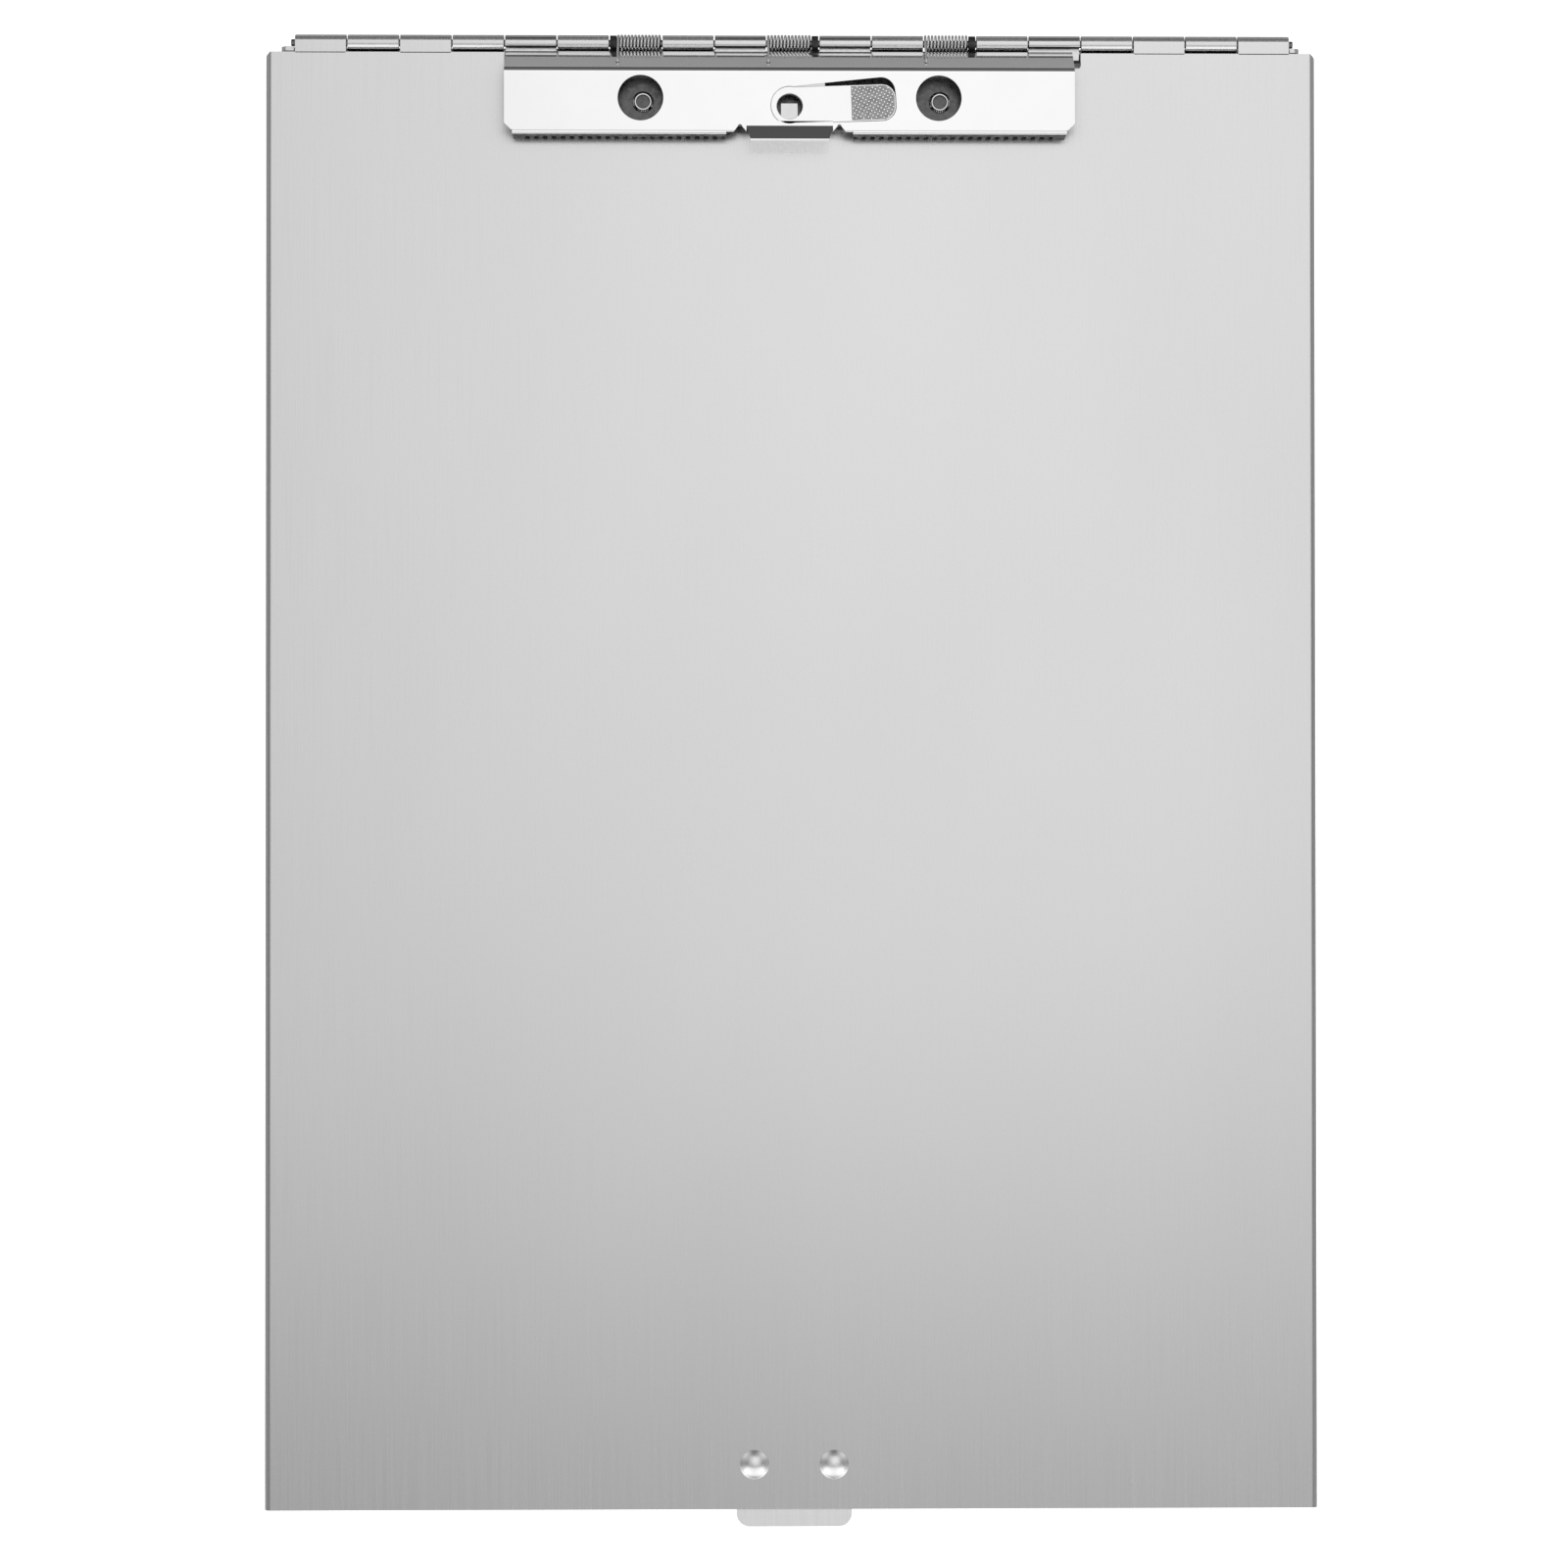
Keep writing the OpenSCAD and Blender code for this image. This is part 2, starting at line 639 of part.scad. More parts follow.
// Points of a quarter turn from one direction to another, for the legs' bends
function turn(p, a, b, n) = [for (i = [0 : n]) let (u = i / n)
    (1 - u) * (1 - u) * (p + a) + 2 * u * (1 - u) * p + u * u * (p + b)];
function spring_path() = let (
        n = [-sin(clip_slope), cos(clip_slope)],
        top = leg_top(),
        touch = coil_r * [cos(leg_touch()), sin(leg_touch())],
        along = (touch - top) / norm(touch - top),
        rings = round(coil_span() * 8),
        low = [leg_reach, -coil_r])
    concat(
        [for (p = concat([on_slope(leg_climb, -clip_t), on_slope(leg_climb, 0)],
            turn(top, -leg_lift / 2 * n, leg_lift / 2 * along, 2),
            [touch - leg_run * along])) [0, p[0], p[1]]],
        [for (i = [0 : rings]) let (a = leg_touch() + 360 * coil_span() * i / rings)
            [coil_len() * i / rings, coil_r * cos(a), coil_r * sin(a)]],
        [for (p = concat([[coil_r, -coil_r]], turn(low, [-leg_turn, 0], [0, leg_turn], 2),
            [[leg_reach, board_under - jaw_gap - wire_d], [leg_reach, board_under - jaw_gap]]))
            [coil_len(), p[0], p[1]]]);

function unit(v) = v / norm(v);
function ring_at(path, i, r, sides) = let (
        n = len(path),
        t = unit(path[min(i + 1, n - 1)] - path[max(i - 1, 0)]),
        u = unit(cross(t, [1, 0, 0])),
        v = cross(u, t))
    [for (k = [0 : sides - 1]) path[i] + r * (cos(360 * k / sides) * v + sin(360 * k / sides) * u)];

module tube(path, r, sides) {
    n = len(path);
    points = [for (i = [0 : n - 1]) each ring_at(path, i, r, sides)];
    walls = [for (i = [0 : n - 2], k = [0 : sides - 1])
        let (a = i * sides + k, b = i * sides + (k + 1) % sides)
        each [[a, b, b + sides], [a, b + sides, a + sides]]];
    first = [for (k = [1 : sides - 2]) [0, k + 1, k]];
    last = [for (k = [1 : sides - 2]) (n - 1) * sides * [1, 1, 1] + [0, k, k + 1]];
    polyhedron(points = points, faces = concat(walls, first, last));
}

// Least distance between points of the wire that are over half a turn apart, less its thickness
function least_gap(path) = min([for (i = [0 : len(path) - 1], j = [i + 5 : 1 : min(i + 12,
    len(path) - 1)]) norm(path[i] - path[j])]) - wire_d;

module spring(name) {
    color("darkgray") at_pin() translate([coil_x(name), 0, 0]) mirror([0, 1, 0])
        tube(spring_path(), wire_d / 2, 6);
}

module spring_left() {
    spring("spring_left");
}

module spring_middle() {
    spring("spring_middle");
}

module spring_right() {
    spring("spring_right");
}

// ---- latch ----

function dome_xs() = [latch_shift - dome_spacing / 2, latch_shift + dome_spacing / 2];
function tongue_y() = pin_y - tray_front + sheet_t + bead_out + tongue_gap;
function bead_z() = pin_z + board_under - latch_t - tongue_h + 2 * bead_r;

module latch_strip() {
    top = pin_z + board_under;
    hw = latch_w / 2;
    front = pin_y - board_front - latch_out;
    rear = pin_y - board_front + dome_inset + dome_d;
    color("white") translate([latch_shift, 0, 0]) difference() {
        union() {
            translate([0, 0, top - latch_t]) linear_extrude(latch_t)
                mirror([0, 1]) arch(hw, -rear, -front, latch_corner_r);
            // tongue lanced out of the strip and bent down, with a bead across it
            translate([-tongue_w / 2, tongue_y(), top - latch_t - tongue_h])
                cube([tongue_w, latch_t, tongue_h + tiny]);
            translate([-tongue_w / 2, tongue_y() + bead_r - bead_out, bead_z()])
                rotate([0, 90, 0]) cylinder(h = tongue_w, r = bead_r);
        }
        translate([-tongue_w / 2 - tongue_side, tongue_y() + latch_t, top - latch_t - tiny])
            cube([tongue_w + 2 * tongue_side, tongue_h, latch_t + 2 * tiny]);
        for (x = [-dome_spacing / 2, dome_spacing / 2])
            translate([x, pin_y - board_front + dome_inset, top - latch_t - tiny])
                cylinder(h = latch_t + 2 * tiny, r = dome_shank_r + rivet_fit);
    }
}

module dome_rivets() {
    ball_r = (dome_d * dome_d / 4 + dome_h * dome_h) / (2 * dome_h);
    color("silver") at_pin() for (x = dome_xs())
        translate([x, -board_front + dome_inset, 0]) {
            intersection() {
                translate([0, 0, board_top + dome_h - ball_r]) sphere(ball_r);
                translate([0, 0, board_top]) cylinder(h = 2 * dome_h, d = dome_d + 1);
            }
            translate([0, 0, board_under - latch_t - tail_h])
                cylinder(h = sheet_t + latch_t + tail_h + tiny, r = dome_shank_r);
            translate([0, 0, board_under - latch_t - tail_h])
                cylinder(h = tail_h, r = dome_shank_r + 1);
        }
}

echo(spring_wire_least_gap = least_gap(spring_path()));

tray();
board();
hinge_pin();
base_plate();
base_rivets();
lock_stud();
clip_plate();
lever_bridge();
lever();
spring_left();
spring_middle();
spring_right();
latch_strip();
dome_rivets();
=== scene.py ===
"""Looks of the form box: brushed aluminium tray and lid, chromed spring clip and its hinge row."""

import math

import bmesh
import bpy
from mathutils import Matrix, Vector


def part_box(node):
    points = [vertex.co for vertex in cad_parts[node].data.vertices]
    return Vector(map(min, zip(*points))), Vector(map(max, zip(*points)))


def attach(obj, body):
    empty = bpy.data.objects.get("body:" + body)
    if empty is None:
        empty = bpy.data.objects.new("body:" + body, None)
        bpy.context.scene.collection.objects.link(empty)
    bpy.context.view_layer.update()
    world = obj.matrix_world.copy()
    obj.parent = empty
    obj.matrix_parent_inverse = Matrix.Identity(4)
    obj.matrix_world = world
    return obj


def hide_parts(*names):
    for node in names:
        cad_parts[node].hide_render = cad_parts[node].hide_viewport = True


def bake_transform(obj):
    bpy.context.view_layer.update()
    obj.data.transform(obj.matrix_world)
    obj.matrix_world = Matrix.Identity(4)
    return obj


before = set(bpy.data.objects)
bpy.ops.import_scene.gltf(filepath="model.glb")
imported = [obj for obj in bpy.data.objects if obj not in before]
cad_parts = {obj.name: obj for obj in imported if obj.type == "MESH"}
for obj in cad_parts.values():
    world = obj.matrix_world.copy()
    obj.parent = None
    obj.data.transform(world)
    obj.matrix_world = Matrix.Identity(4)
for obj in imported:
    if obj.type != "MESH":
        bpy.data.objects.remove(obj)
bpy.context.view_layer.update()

MM = 0.001

# Sizes are in millimetres and degrees. Profiles are read as (forward, up) from the pin's axis.

# the hinge row: what holds the pin at each place, from the left
PIN_Y, PIN_Z = 167.025, 12.85
HINGE_X0, HINGE_W, KNUCKLE_GAP = -112.59, 225.9, 0.3
BORE_R, KNUCKLE_R = 0.85, 1.85
PLACES = (
    "board tray board tray base tray spring tray base spring base tray spring tray base"
    " tray board tray board"
).split()
PLACE_W = HINGE_W / len(PLACES)

# the board and the tray, of one thickness of sheet
SHEET, BEND_R, SHEET_EDGE, KNUCKLE_EDGE = 1.0, 1.4, 0.12, 0.1
BOX_HW, SKIRT_H, CORNER_CUT = 119.0, 10, 1
BOARD_TOP, BOARD_UNDER = 1.85, 0.85
SHOULDER, BOARD_FRONT, FRONT_LEAN = 2.3, 332.05, 0.32
CLIP_EDGE, CLIP_NOTCH = 4.4, 5.2  # the board's rear edge under the clip, and at its knuckles
TRAY_HW, WALL_TOP, FRONT_GAP = 117.6, 13.3, 0.6
NOTCH_Z, LEG_SLOT_Z = -2.35, -4.8  # the foot of the back wall's notch and of its leg slots
SLIT_HW, REAR_CLEAR = 0.2, 2.8
FRONT_X = 0.5  # the middle of the latch and of the domed rivets
LATCH_HW, LATCH_Z, BEAD_HW, BEAD_LOW, BEAD_HIGH = 13.45, 12.5, 4.4, 8.5, 9.7

# the base plate: its flat part, its nose at the stud, and the two bends behind it
PLATE_FRONT, PLATE_REAR, PLATE_IN, NOSE_FRONT, NOSE_HW = 18.9, 5.6, 1, 19.1, 5.5
DIP_AT, RISE_AT, BEND_OUT, BEND_IN = (3.7, -0.65), (5.1, 1.65), 1.2, 0.2
# from here forward the base plate is painted dark, as painted shade under the clip
SHADE_PAINTED_FROM = 1.9

# the clip: a rear slope, a flat top with access holes, and a front face with a lip and a comb
CLIP_X, CLIP_HW, CLIP_T, CLIP_TOP = -0.5, 64.3, 0.8, 9.35
CLIP_REACH, FLAT_FRONT, FLAT_REAR = 21.85, 20.95, 8.15
SLOPE, FOOT_GAP, REAR_R, FRONT_R = 56, 0.15, 2.0, 0.9
LIP_TOP, LIP_FOOT, LIP_OUT, LIP_IN = 3.35, 1.95, 0.122, 0.68
CLIP_CORNER, CORNER_IN = 1.5, 1.8
ACCESS_R = 5.15
COMB_X, TEETH, PITCH = 14.3, 23, 2.02
GAP_W, GAP_TOP = PITCH * 0.52, 5.0
EAR_R, EAR_W = 1.8, 1.5

# the finger tab, and the room cut round it
TAB_HW, TAB_ROOT, TAB_CREASE, TAB_END, TAPER = 9.75, 19.0, 20.15, 24.4, 1.15
TAB_RISE, TAB_LEN, TAB_R = 32, 3.5, 0.6
ROOM_FRONT, CREASE_IN, RELIEF_R, RELIEF_HW = 21.35, 0.45, 0.46, 1.45

# the lever, its collar and its thumb pad
LEVER_REACH, LEVER_LEN, LEVER_TILT, LEVER_SWING = 15.65, 23.9, 2, 4
LEVER_HW, EYE_R, TIP_R, TIP_IN, LEVER_OFF, LEVER_GAP = 4.1, 4.25, 3.1, 1.0, 0.2, 0.12
COLLAR_R, COLLAR_H, FLANGE_R, FLANGE_H, LEVER_BORE_R = 3.7, 1.7, 4.4, 0.8, 2.9
PAD_PITCH, PAD_W, PAD_H, PAD_TIP, PAD_TURN = 0.78, 0.34, 0.24, 0.6, 15
PAD_FROM, PAD_TO, PAD_HW, PAD_CORNER, PATCH_R = 9.8, 0.5, 3.65, 2.65, 2.85

# the springs: each one's place, and the side of it where the clip's ear stands
SPRINGS = {"spring_left": (6, -1), "spring_middle": (9, 1), "spring_right": (12, 1)}
COIL_TURNS, COIL_PITCH = 12, 0.775
WIRE_R, COIL_R, SOLID_WIRE_R, LEG_HOLE_R = 0.27, 1.755, 0.18, 0.5
LEG_CLIMB, LEG_REACH, LEG_BEND, LEG_HOOK = 5.8, 6.45, 0.3, 0.7

# the rivets, whose outlines are (radius, up) from the sheet that they sit on
RIVET_XS, RIVET_REACH = (-33.6, 33.6), 13.8
TUBULAR = [
    *((0, -1.85), (0.3, -1.8), (1.45, -0.9), (1.5, 0.8), (1.56, 0.96), (1.62, 1.0)),
    *((1.87, 1.0), (1.94, 0.96), (1.98, 0.85), (1.99, 0.55), (2.05, 0.42), (2.3, 0.3)),
    *((2.42, 0.18), (2.45, 0.0), (2.4, -0.05), (1.9, -0.1), (1.9, -2.0), (2.4, -2.0)),
    *((2.45, -2.1), (2.4, -2.45), (2.1, -2.5), (1.4, -2.5), (1.2, -2.3), (0, -2.2)),
]
DOME_X, DOME_REACH, DOME_R, DOME_H = 9, 10.1, 3.3, 1.5
DOME_FOOT = [(3.3, 0.06), (3.26, 0.0), (1.6, -0.02), (1.6, -1.8)]
DOME_FOOT += [(2.6, -1.8), (2.6, -2.3), (2.2, -2.35), (0, -2.35)]


# ---- shapes ----


def cosd(a):
    """Cosine of an angle in degrees."""
    return math.cos(math.radians(a))


def sind(a):
    """Sine of an angle in degrees."""
    return math.sin(math.radians(a))


def arc(cx, cy, r, a0, a1, n):
    """Points of an arc round (cx, cy), from angle a0 to a1 in n steps."""
    ways = [a0 + (a1 - a0) * i / n for i in range(n + 1)]
    return [(cx + r * cosd(way), cy + r * sind(way)) for way in ways]


def diamond(r, x=0.0, y=0.0):
    """A square on its corner, which cuts a corner off by r."""
    return [(x - r, y), (x, y - r), (x + r, y), (x, y + r)]


def from_bmesh(bm, name="part"):
    """A new object in the scene with bm's mesh, its faces turned outward."""
    bmesh.ops.recalc_face_normals(bm, faces=bm.faces)
    mesh = bpy.data.meshes.new(name)
    bm.to_mesh(mesh)
    bm.free()
    obj = bpy.data.objects.new(name, mesh)
    bpy.context.scene.collection.objects.link(obj)
    return obj


def prism(outline, a, b, place):
    """A closed prism over an outline, from a to b, with place(u, v, w) giving each corner in mm."""
    bm = bmesh.new()
    ends = [[bm.verts.new([c * MM for c in place(u, v, w)]) for u, v in outline] for w in (a, b)]
    bm.faces.new(ends[0])
    bm.faces.new(ends[1])
    n = len(outline)
    for i in range(n):
        j = (i + 1) % n
        bm.faces.new((ends[0][i], ends[0][j], ends[1][j], ends[1][i]))
    return from_bmesh(bm)


def along_x(outline, x0, x1):
    """A (forward, up) profile drawn out along X."""
    return prism(outline, x0, x1, lambda f, z, x: (x, PIN_Y - f, PIN_Z + z))


def along_y(outline, f0, f1):
    """An (x, up) profile drawn out from f0 to f1 in front of the pin."""
    return prism(outline, f0, f1, lambda x, z, f: (x, PIN_Y - f, PIN_Z + z))


def along_z(outline, z0, z1, x=0.0, f=0.0):
    """A plan (x, toward the hinge) round a point f in front of the pin, drawn up from z0 to z1."""
    return prism(outline, z0, z1, lambda u, v, w: (x + u, PIN_Y - f + v, PIN_Z + w))


def block(x0, x1, f0, f1, z0, z1):
    """A box between two places along X, forward and up."""
    return along_x([(f0, z0), (f1, z0), (f1, z1), (f0, z1)], x0, x1)


def drill(x, f, r, z0, z1, n=96):
    """An upright round bar of n sides."""
    return along_z(arc(0, 0, r, 0, 360 * (n - 1) / n, n - 1), z0, z1, x, f)


def lathe(profile, n=72):
    """A closed turned shape from (radius, up) points, its first and last on the axis."""
    bm = bmesh.new()
    rings = []
    for r, z in profile:
        if r < 1e-6:
            rings.append([bm.verts.new((0, 0, z * MM))])
        else:
            rings.append(
                [
                    bm.verts.new((r * cosd(360 * k / n) * MM, r * sind(360 * k / n) * MM, z * MM))
                    for k in range(n)
                ]
            )
    for low, high in zip(rings, rings[1:]):
        for k in range(n):
            j = (k + 1) % n
            if len(low) == 1:
                bm.faces.new((low[0], high[j], high[k]))
            elif len(high) == 1:
                bm.faces.new((low[k], low[j], high[0]))
            else:
                bm.faces.new((low[k], low[j], high[j], high[k]))
    return from_bmesh(bm)


def moved(obj, x, f, z):
    """obj's mesh moved to x, f in front of the pin and z above it."""
    obj.data.transform(Matrix.Translation(Vector((x, PIN_Y - f, PIN_Z + z)) * MM))
    return obj


def flatten(obj):
    """Applies obj's modifiers."""
    bpy.context.view_layer.update()
    shown = obj.evaluated_get(bpy.context.evaluated_depsgraph_get())
    mesh = bpy.data.meshes.new_from_object(shown)
    obj.modifiers.clear()
    obj.data = mesh
    return obj


def boolean(obj, others, operation):
    """Joins other closed shapes to obj, or cuts them out of it. The others are used up."""
    if not others:
        return obj
    group = bpy.data.collections.new("operands")
    for o in others:
        group.objects.link(o)
    step = obj.modifiers.new("boolean", "BOOLEAN")
    step.operation = operation
    step.solver = "EXACT"
    step.operand_type = "COLLECTION"
    step.collection = group
    flatten(obj)
    for o in others:
        bpy.data.objects.remove(o)
    bpy.data.collections.remove(group)
    return obj


def cut(obj, *others):
    """Cuts other shapes out of obj."""
    return boolean(obj, others, "DIFFERENCE")


def fuse(obj, *others):
    """Joins other shapes to obj as one shell."""
    return boolean(obj, others, "UNION")


def join(objs):
    """Several closed shells as one object."""
    bm = bmesh.new()
    for o in objs:
        bm.from_mesh(o.data)
        bpy.data.objects.remove(o)
    return from_bmesh(bm)


def tube(path, r, sides):
    """A round wire along a list of points in mm, with flat ends."""
    points = [Vector(p) for p in path]
    bm = bmesh.new()
    rings = []
    side = Vector((1, 0, 0))
    for i, p in enumerate(points):
        ahead = points[min(i + 1, len(points) - 1)] - points[max(i - 1, 0)]
        ahead.normalize()
        side = (side - ahead * side.dot(ahead)).normalized()
        up = ahead.cross(side)
        rings.append(
            [
                bm.verts.new(
                    (p + r * (cosd(360 * k / sides) * side + sind(360 * k / sides) * up)) * MM
                )
                for k in range(sides)
            ]
        )
    for low, high in zip(rings, rings[1:]):
        for k in range(sides):
            j = (k + 1) % sides
            bm.faces.new((low[k], low[j], high[j], high[k]))
    bm.faces.new(rings[0])
    bm.faces.new(rings[-1])
    return from_bmesh(bm)


def grain_map(mesh):
    """A flat map on each face whose U runs across the grain, for the tangent of the gloss."""
    layer = mesh.uv_layers.new(name="grain") if not mesh.uv_layers else mesh.uv_layers[0]
    for face in mesh.polygons:
        n = face.normal
        across = Vector((0, 0, 1)) if abs(n.x) > 0.8 else Vector((1, 0, 0))
        across = (across - n * across.dot(n)).normalized()
        along = n.cross(across)
        for k in face.loop_indices:
            p = mesh.vertices[mesh.loops[k].vertex_index].co
            layer.data[k].uv = (p.dot(across) * 10, p.dot(along) * 10)


def rounded(obj, width, segments=2, angle=32):
    """Welds obj's split edges and breaks its sharp edges."""
    weld = obj.modifiers.new("weld", "WELD")
    weld.merge_threshold = 1e-6
    bevel = obj.modifiers.new("bevel", "BEVEL")
    bevel.width = width * MM
    bevel.segments = segments
    bevel.limit_method = "ANGLE"
    bevel.angle_limit = math.radians(angle)
    bevel.use_clamp_overlap = True
    bevel.miter_outer = "MITER_ARC"
    return flatten(obj)


def smooth(obj, angle=40):
    """Shades obj smoothly, apart from edges sharper than an angle."""
    mesh = obj.data
    mesh.polygons.foreach_set("use_smooth", [True] * len(mesh.polygons))
    mesh.set_sharp_from_angle(angle=math.radians(angle))
    step = obj.modifiers.new("normals", "WEIGHTED_NORMAL")
    step.mode = "FACE_AREA"
    step.weight = 60
    step.keep_sharp = True
    return flatten(obj)


def finish_piece(obj, name, material, body, slot, *nodes):
    """Names a piece, gives it its material, a grain map and its body, and hides the CAD nodes it
    stands in for; slot is not used.
    """
    obj.name = name
    obj.data.name = name
    obj.data.materials.clear()
    obj.data.materials.append(material)
    obj.data.polygons.foreach_set("material_index", [0] * len(obj.data.polygons))
    grain_map(obj.data)
    if body:
        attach(obj, body)
    if nodes:
        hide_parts(*nodes)
    return obj


def paint(obj, material, chosen):
    """Gives a second material to the faces whose centre (x, forward, up) is chosen."""
    obj.data.materials.append(material)
    for face in obj.data.polygons:
        centre = face.center / MM
        if chosen(centre.x, PIN_Y - centre.y, centre.z - PIN_Z):
            face.material_index = 1


def copy_of(node):
    """The CAD node's own solid as a new object, with its split edges welded."""
    bm = bmesh.new()
    bm.from_mesh(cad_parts[node].data)
    bmesh.ops.remove_doubles(bm, verts=bm.verts, dist=2e-6)
    bmesh.ops.dissolve_limit(
        bm, angle_limit=math.radians(0.5), verts=bm.verts, edges=bm.edges
    )
    return from_bmesh(bm, node)


# ---- materials ----


def maths(tree, operation, *values):
    """A maths node whose inputs are numbers or other nodes' outputs."""
    step = tree.nodes.new("ShaderNodeMath")
    step.operation = operation
    for socket, value in zip(step.inputs, values):
        if isinstance(value, (int, float)):
            socket.default_value = value
        else:
            tree.links.new(value, socket)
    return step.outputs["Value"]


class Nodes:
    """Short names for building a material's nodes."""

    def __init__(self, name):
        self.material = bpy.data.materials.new(name)
        self.material.use_nodes = True
        self.tree = self.material.node_tree
        self.shader = self.tree.nodes["Principled BSDF"]
        self.place = self.tree.nodes.new("ShaderNodeTexCoord")

    def link(self, a, b):
        self.tree.links.new(a, b)

    def noise(self, stretch, detail=2.0, roughness=0.5):
        """Noise in the object's own metres, stretched by a vector of features per metre."""
        scale = self.tree.nodes.new("ShaderNodeMapping")
        scale.inputs["Scale"].default_value = stretch
        noise = self.tree.nodes.new("ShaderNodeTexNoise")
        noise.inputs["Scale"].default_value = 1.0
        noise.inputs["Detail"].default_value = detail
        noise.inputs["Roughness"].default_value = roughness
        self.link(self.place.outputs["Object"], scale.inputs["Vector"])
        self.link(scale.outputs["Vector"], noise.inputs["Vector"])
        return noise.outputs["Fac"]

    def span(self, value, low, high):
        """value, from 0.3 to 0.7, spread from low to high."""
        step = self.tree.nodes.new("ShaderNodeMapRange")
        step.inputs["From Min"].default_value = 0.3
        step.inputs["From Max"].default_value = 0.7
        step.inputs["To Min"].default_value = low
        step.inputs["To Max"].default_value = high
        self.link(value, step.inputs["Value"])
        return step.outputs["Result"]

    def grey(self, value):
        """A grey colour of that brightness."""
        step = self.tree.nodes.new("ShaderNodeCombineColor")
        for socket in ("Red", "Green", "Blue"):
            self.link(value, step.inputs[socket])
        return step.outputs["Color"]

    def bump(self, height, strength, distance):
        """Raises the surface by height, over a distance in metres."""
        step = self.tree.nodes.new("ShaderNodeBump")
        step.inputs["Strength"].default_value = strength
        step.inputs["Distance"].default_value = distance
        self.link(height, step.inputs["Height"])
        self.link(step.outputs["Normal"], self.shader.inputs["Normal"])

    def across_grain(self):
        """Takes the gloss's direction from the map that grain_map lays."""
        step = self.tree.nodes.new("ShaderNodeTangent")
        step.direction_type = "UV_MAP"
        step.uv_map = "grain"
        self.link(step.outputs["Tangent"], self.shader.inputs["Tangent"])

    def metal(self, anisotropic=0.0, metallic=1.0):
        self.shader.inputs["Metallic"].default_value = metallic
        self.shader.inputs["Anisotropic"].default_value = anisotropic


def brushed(name, base, rough, anisotropic, stretch, streaks=0.05, bump=0.25, metallic=1.0):
    """Brushed sheet: fine lines that run along the grain, and slow changes of tone."""
    m = Nodes(name)
    m.metal(anisotropic, metallic)
    fine = m.noise(stretch, 3.0, 0.6)
    slow = m.noise((18, 9, 18), 2.0)
    tone = maths(
        m.tree,
        "ADD",
        m.span(fine, base * (1 - streaks), base * (1 + streaks)),
        m.span(slow, -0.012, 0.012),
    )
    m.link(m.grey(tone), m.shader.inputs["Base Color"])
    m.link(m.span(fine, rough * 0.85, rough * 1.15), m.shader.inputs["Roughness"])
    m.bump(fine, bump, 4e-6)
    m.across_grain()
    return m.material


def chrome(name, base, rough, bump=0.12):
    """Polished plate, with the faint unevenness that bends its reflections."""
    m = Nodes(name)
    m.metal()
    wave = m.noise((160, 160, 160), 2.0)
    haze = m.noise((900, 900, 900), 3.0)
    m.link(m.grey(m.span(wave, base * 0.985, base)), m.shader.inputs["Base Color"])
    m.link(m.span(haze, rough * 0.6, rough * 1.4), m.shader.inputs["Roughness"])
    m.bump(wave, bump, 2e-5)
    return m.material


# name, brightness, roughness, gloss along the grain, features per metre
BOARD = brushed("board_brushed_aluminium", 0.80, 0.25, 0.75, (3200, 28, 3200))
TRAY = brushed("tray_brushed_aluminium", 0.80, 0.27, 0.7, (3000, 26, 3000))
LATCH = brushed("latch_satin_aluminium", 0.95, 0.35, 0.2, (2600, 90, 2600), 0.03, 0.2, 0.5)
RIVET = brushed("rivet_turned_aluminium", 0.86, 0.34, 0.0, (2200, 2200, 2200), 0.03, 0.15)
# painted shade: the pin is painted dark, standing in for the shade between the spring's turns
PIN = brushed("pin_painted_shade", 0.18, 0.3, 0.0, (200, 4000, 4000), 0.08)
PLATED = chrome("plated_steel", 0.72, 0.16)
SPRING = brushed("spring_bright_wire", 0.78, 0.12, 0.0, (2500, 2500, 2500), 0.06, 0.1)
CHROME = chrome("clip_chrome", 0.93, 0.035)
# painted shade: a darker copy of the lever's chrome for the knurl's sides and hollows; its
# roughness is the knurl's own scatter
KNURL_PAINTED_SHADE = chrome("knurl_chrome_painted_shade", 0.4, 0.45)
LEVER = chrome("lever_chrome", 0.92, 0.06)
# painted shade: the bright plate painted dark where, under the clip, it shows only shade and dark
# reflections
PLATE_PAINTED_SHADE = chrome("base_plate_painted_shade", 0.13, 0.3)
# painted shade: chrome painted dark on the clip's ears and front face, standing in for their shade
# and dark reflections
CLIP_PAINTED_SHADE = chrome("clip_chrome_painted_shade", 0.07, 0.5)


# ---- board ----


def places(name):
    """The places of the hinge row that one part holds."""
    return [i for i, held in enumerate(PLACES) if held == name]


def place_left(i):
    """Where place i begins along X."""
    return HINGE_X0 + i * PLACE_W


def knuckles(name, outline, edge):
    """The rolled knuckles of one sheet, as closed shells with broken edges."""
    shells = []
    for i in places(name):
        left, right = place_left(i) + KNUCKLE_GAP / 2, place_left(i + 1) - KNUCKLE_GAP / 2
        shells.append(rounded(along_x(outline, left, right), edge))
    return shells


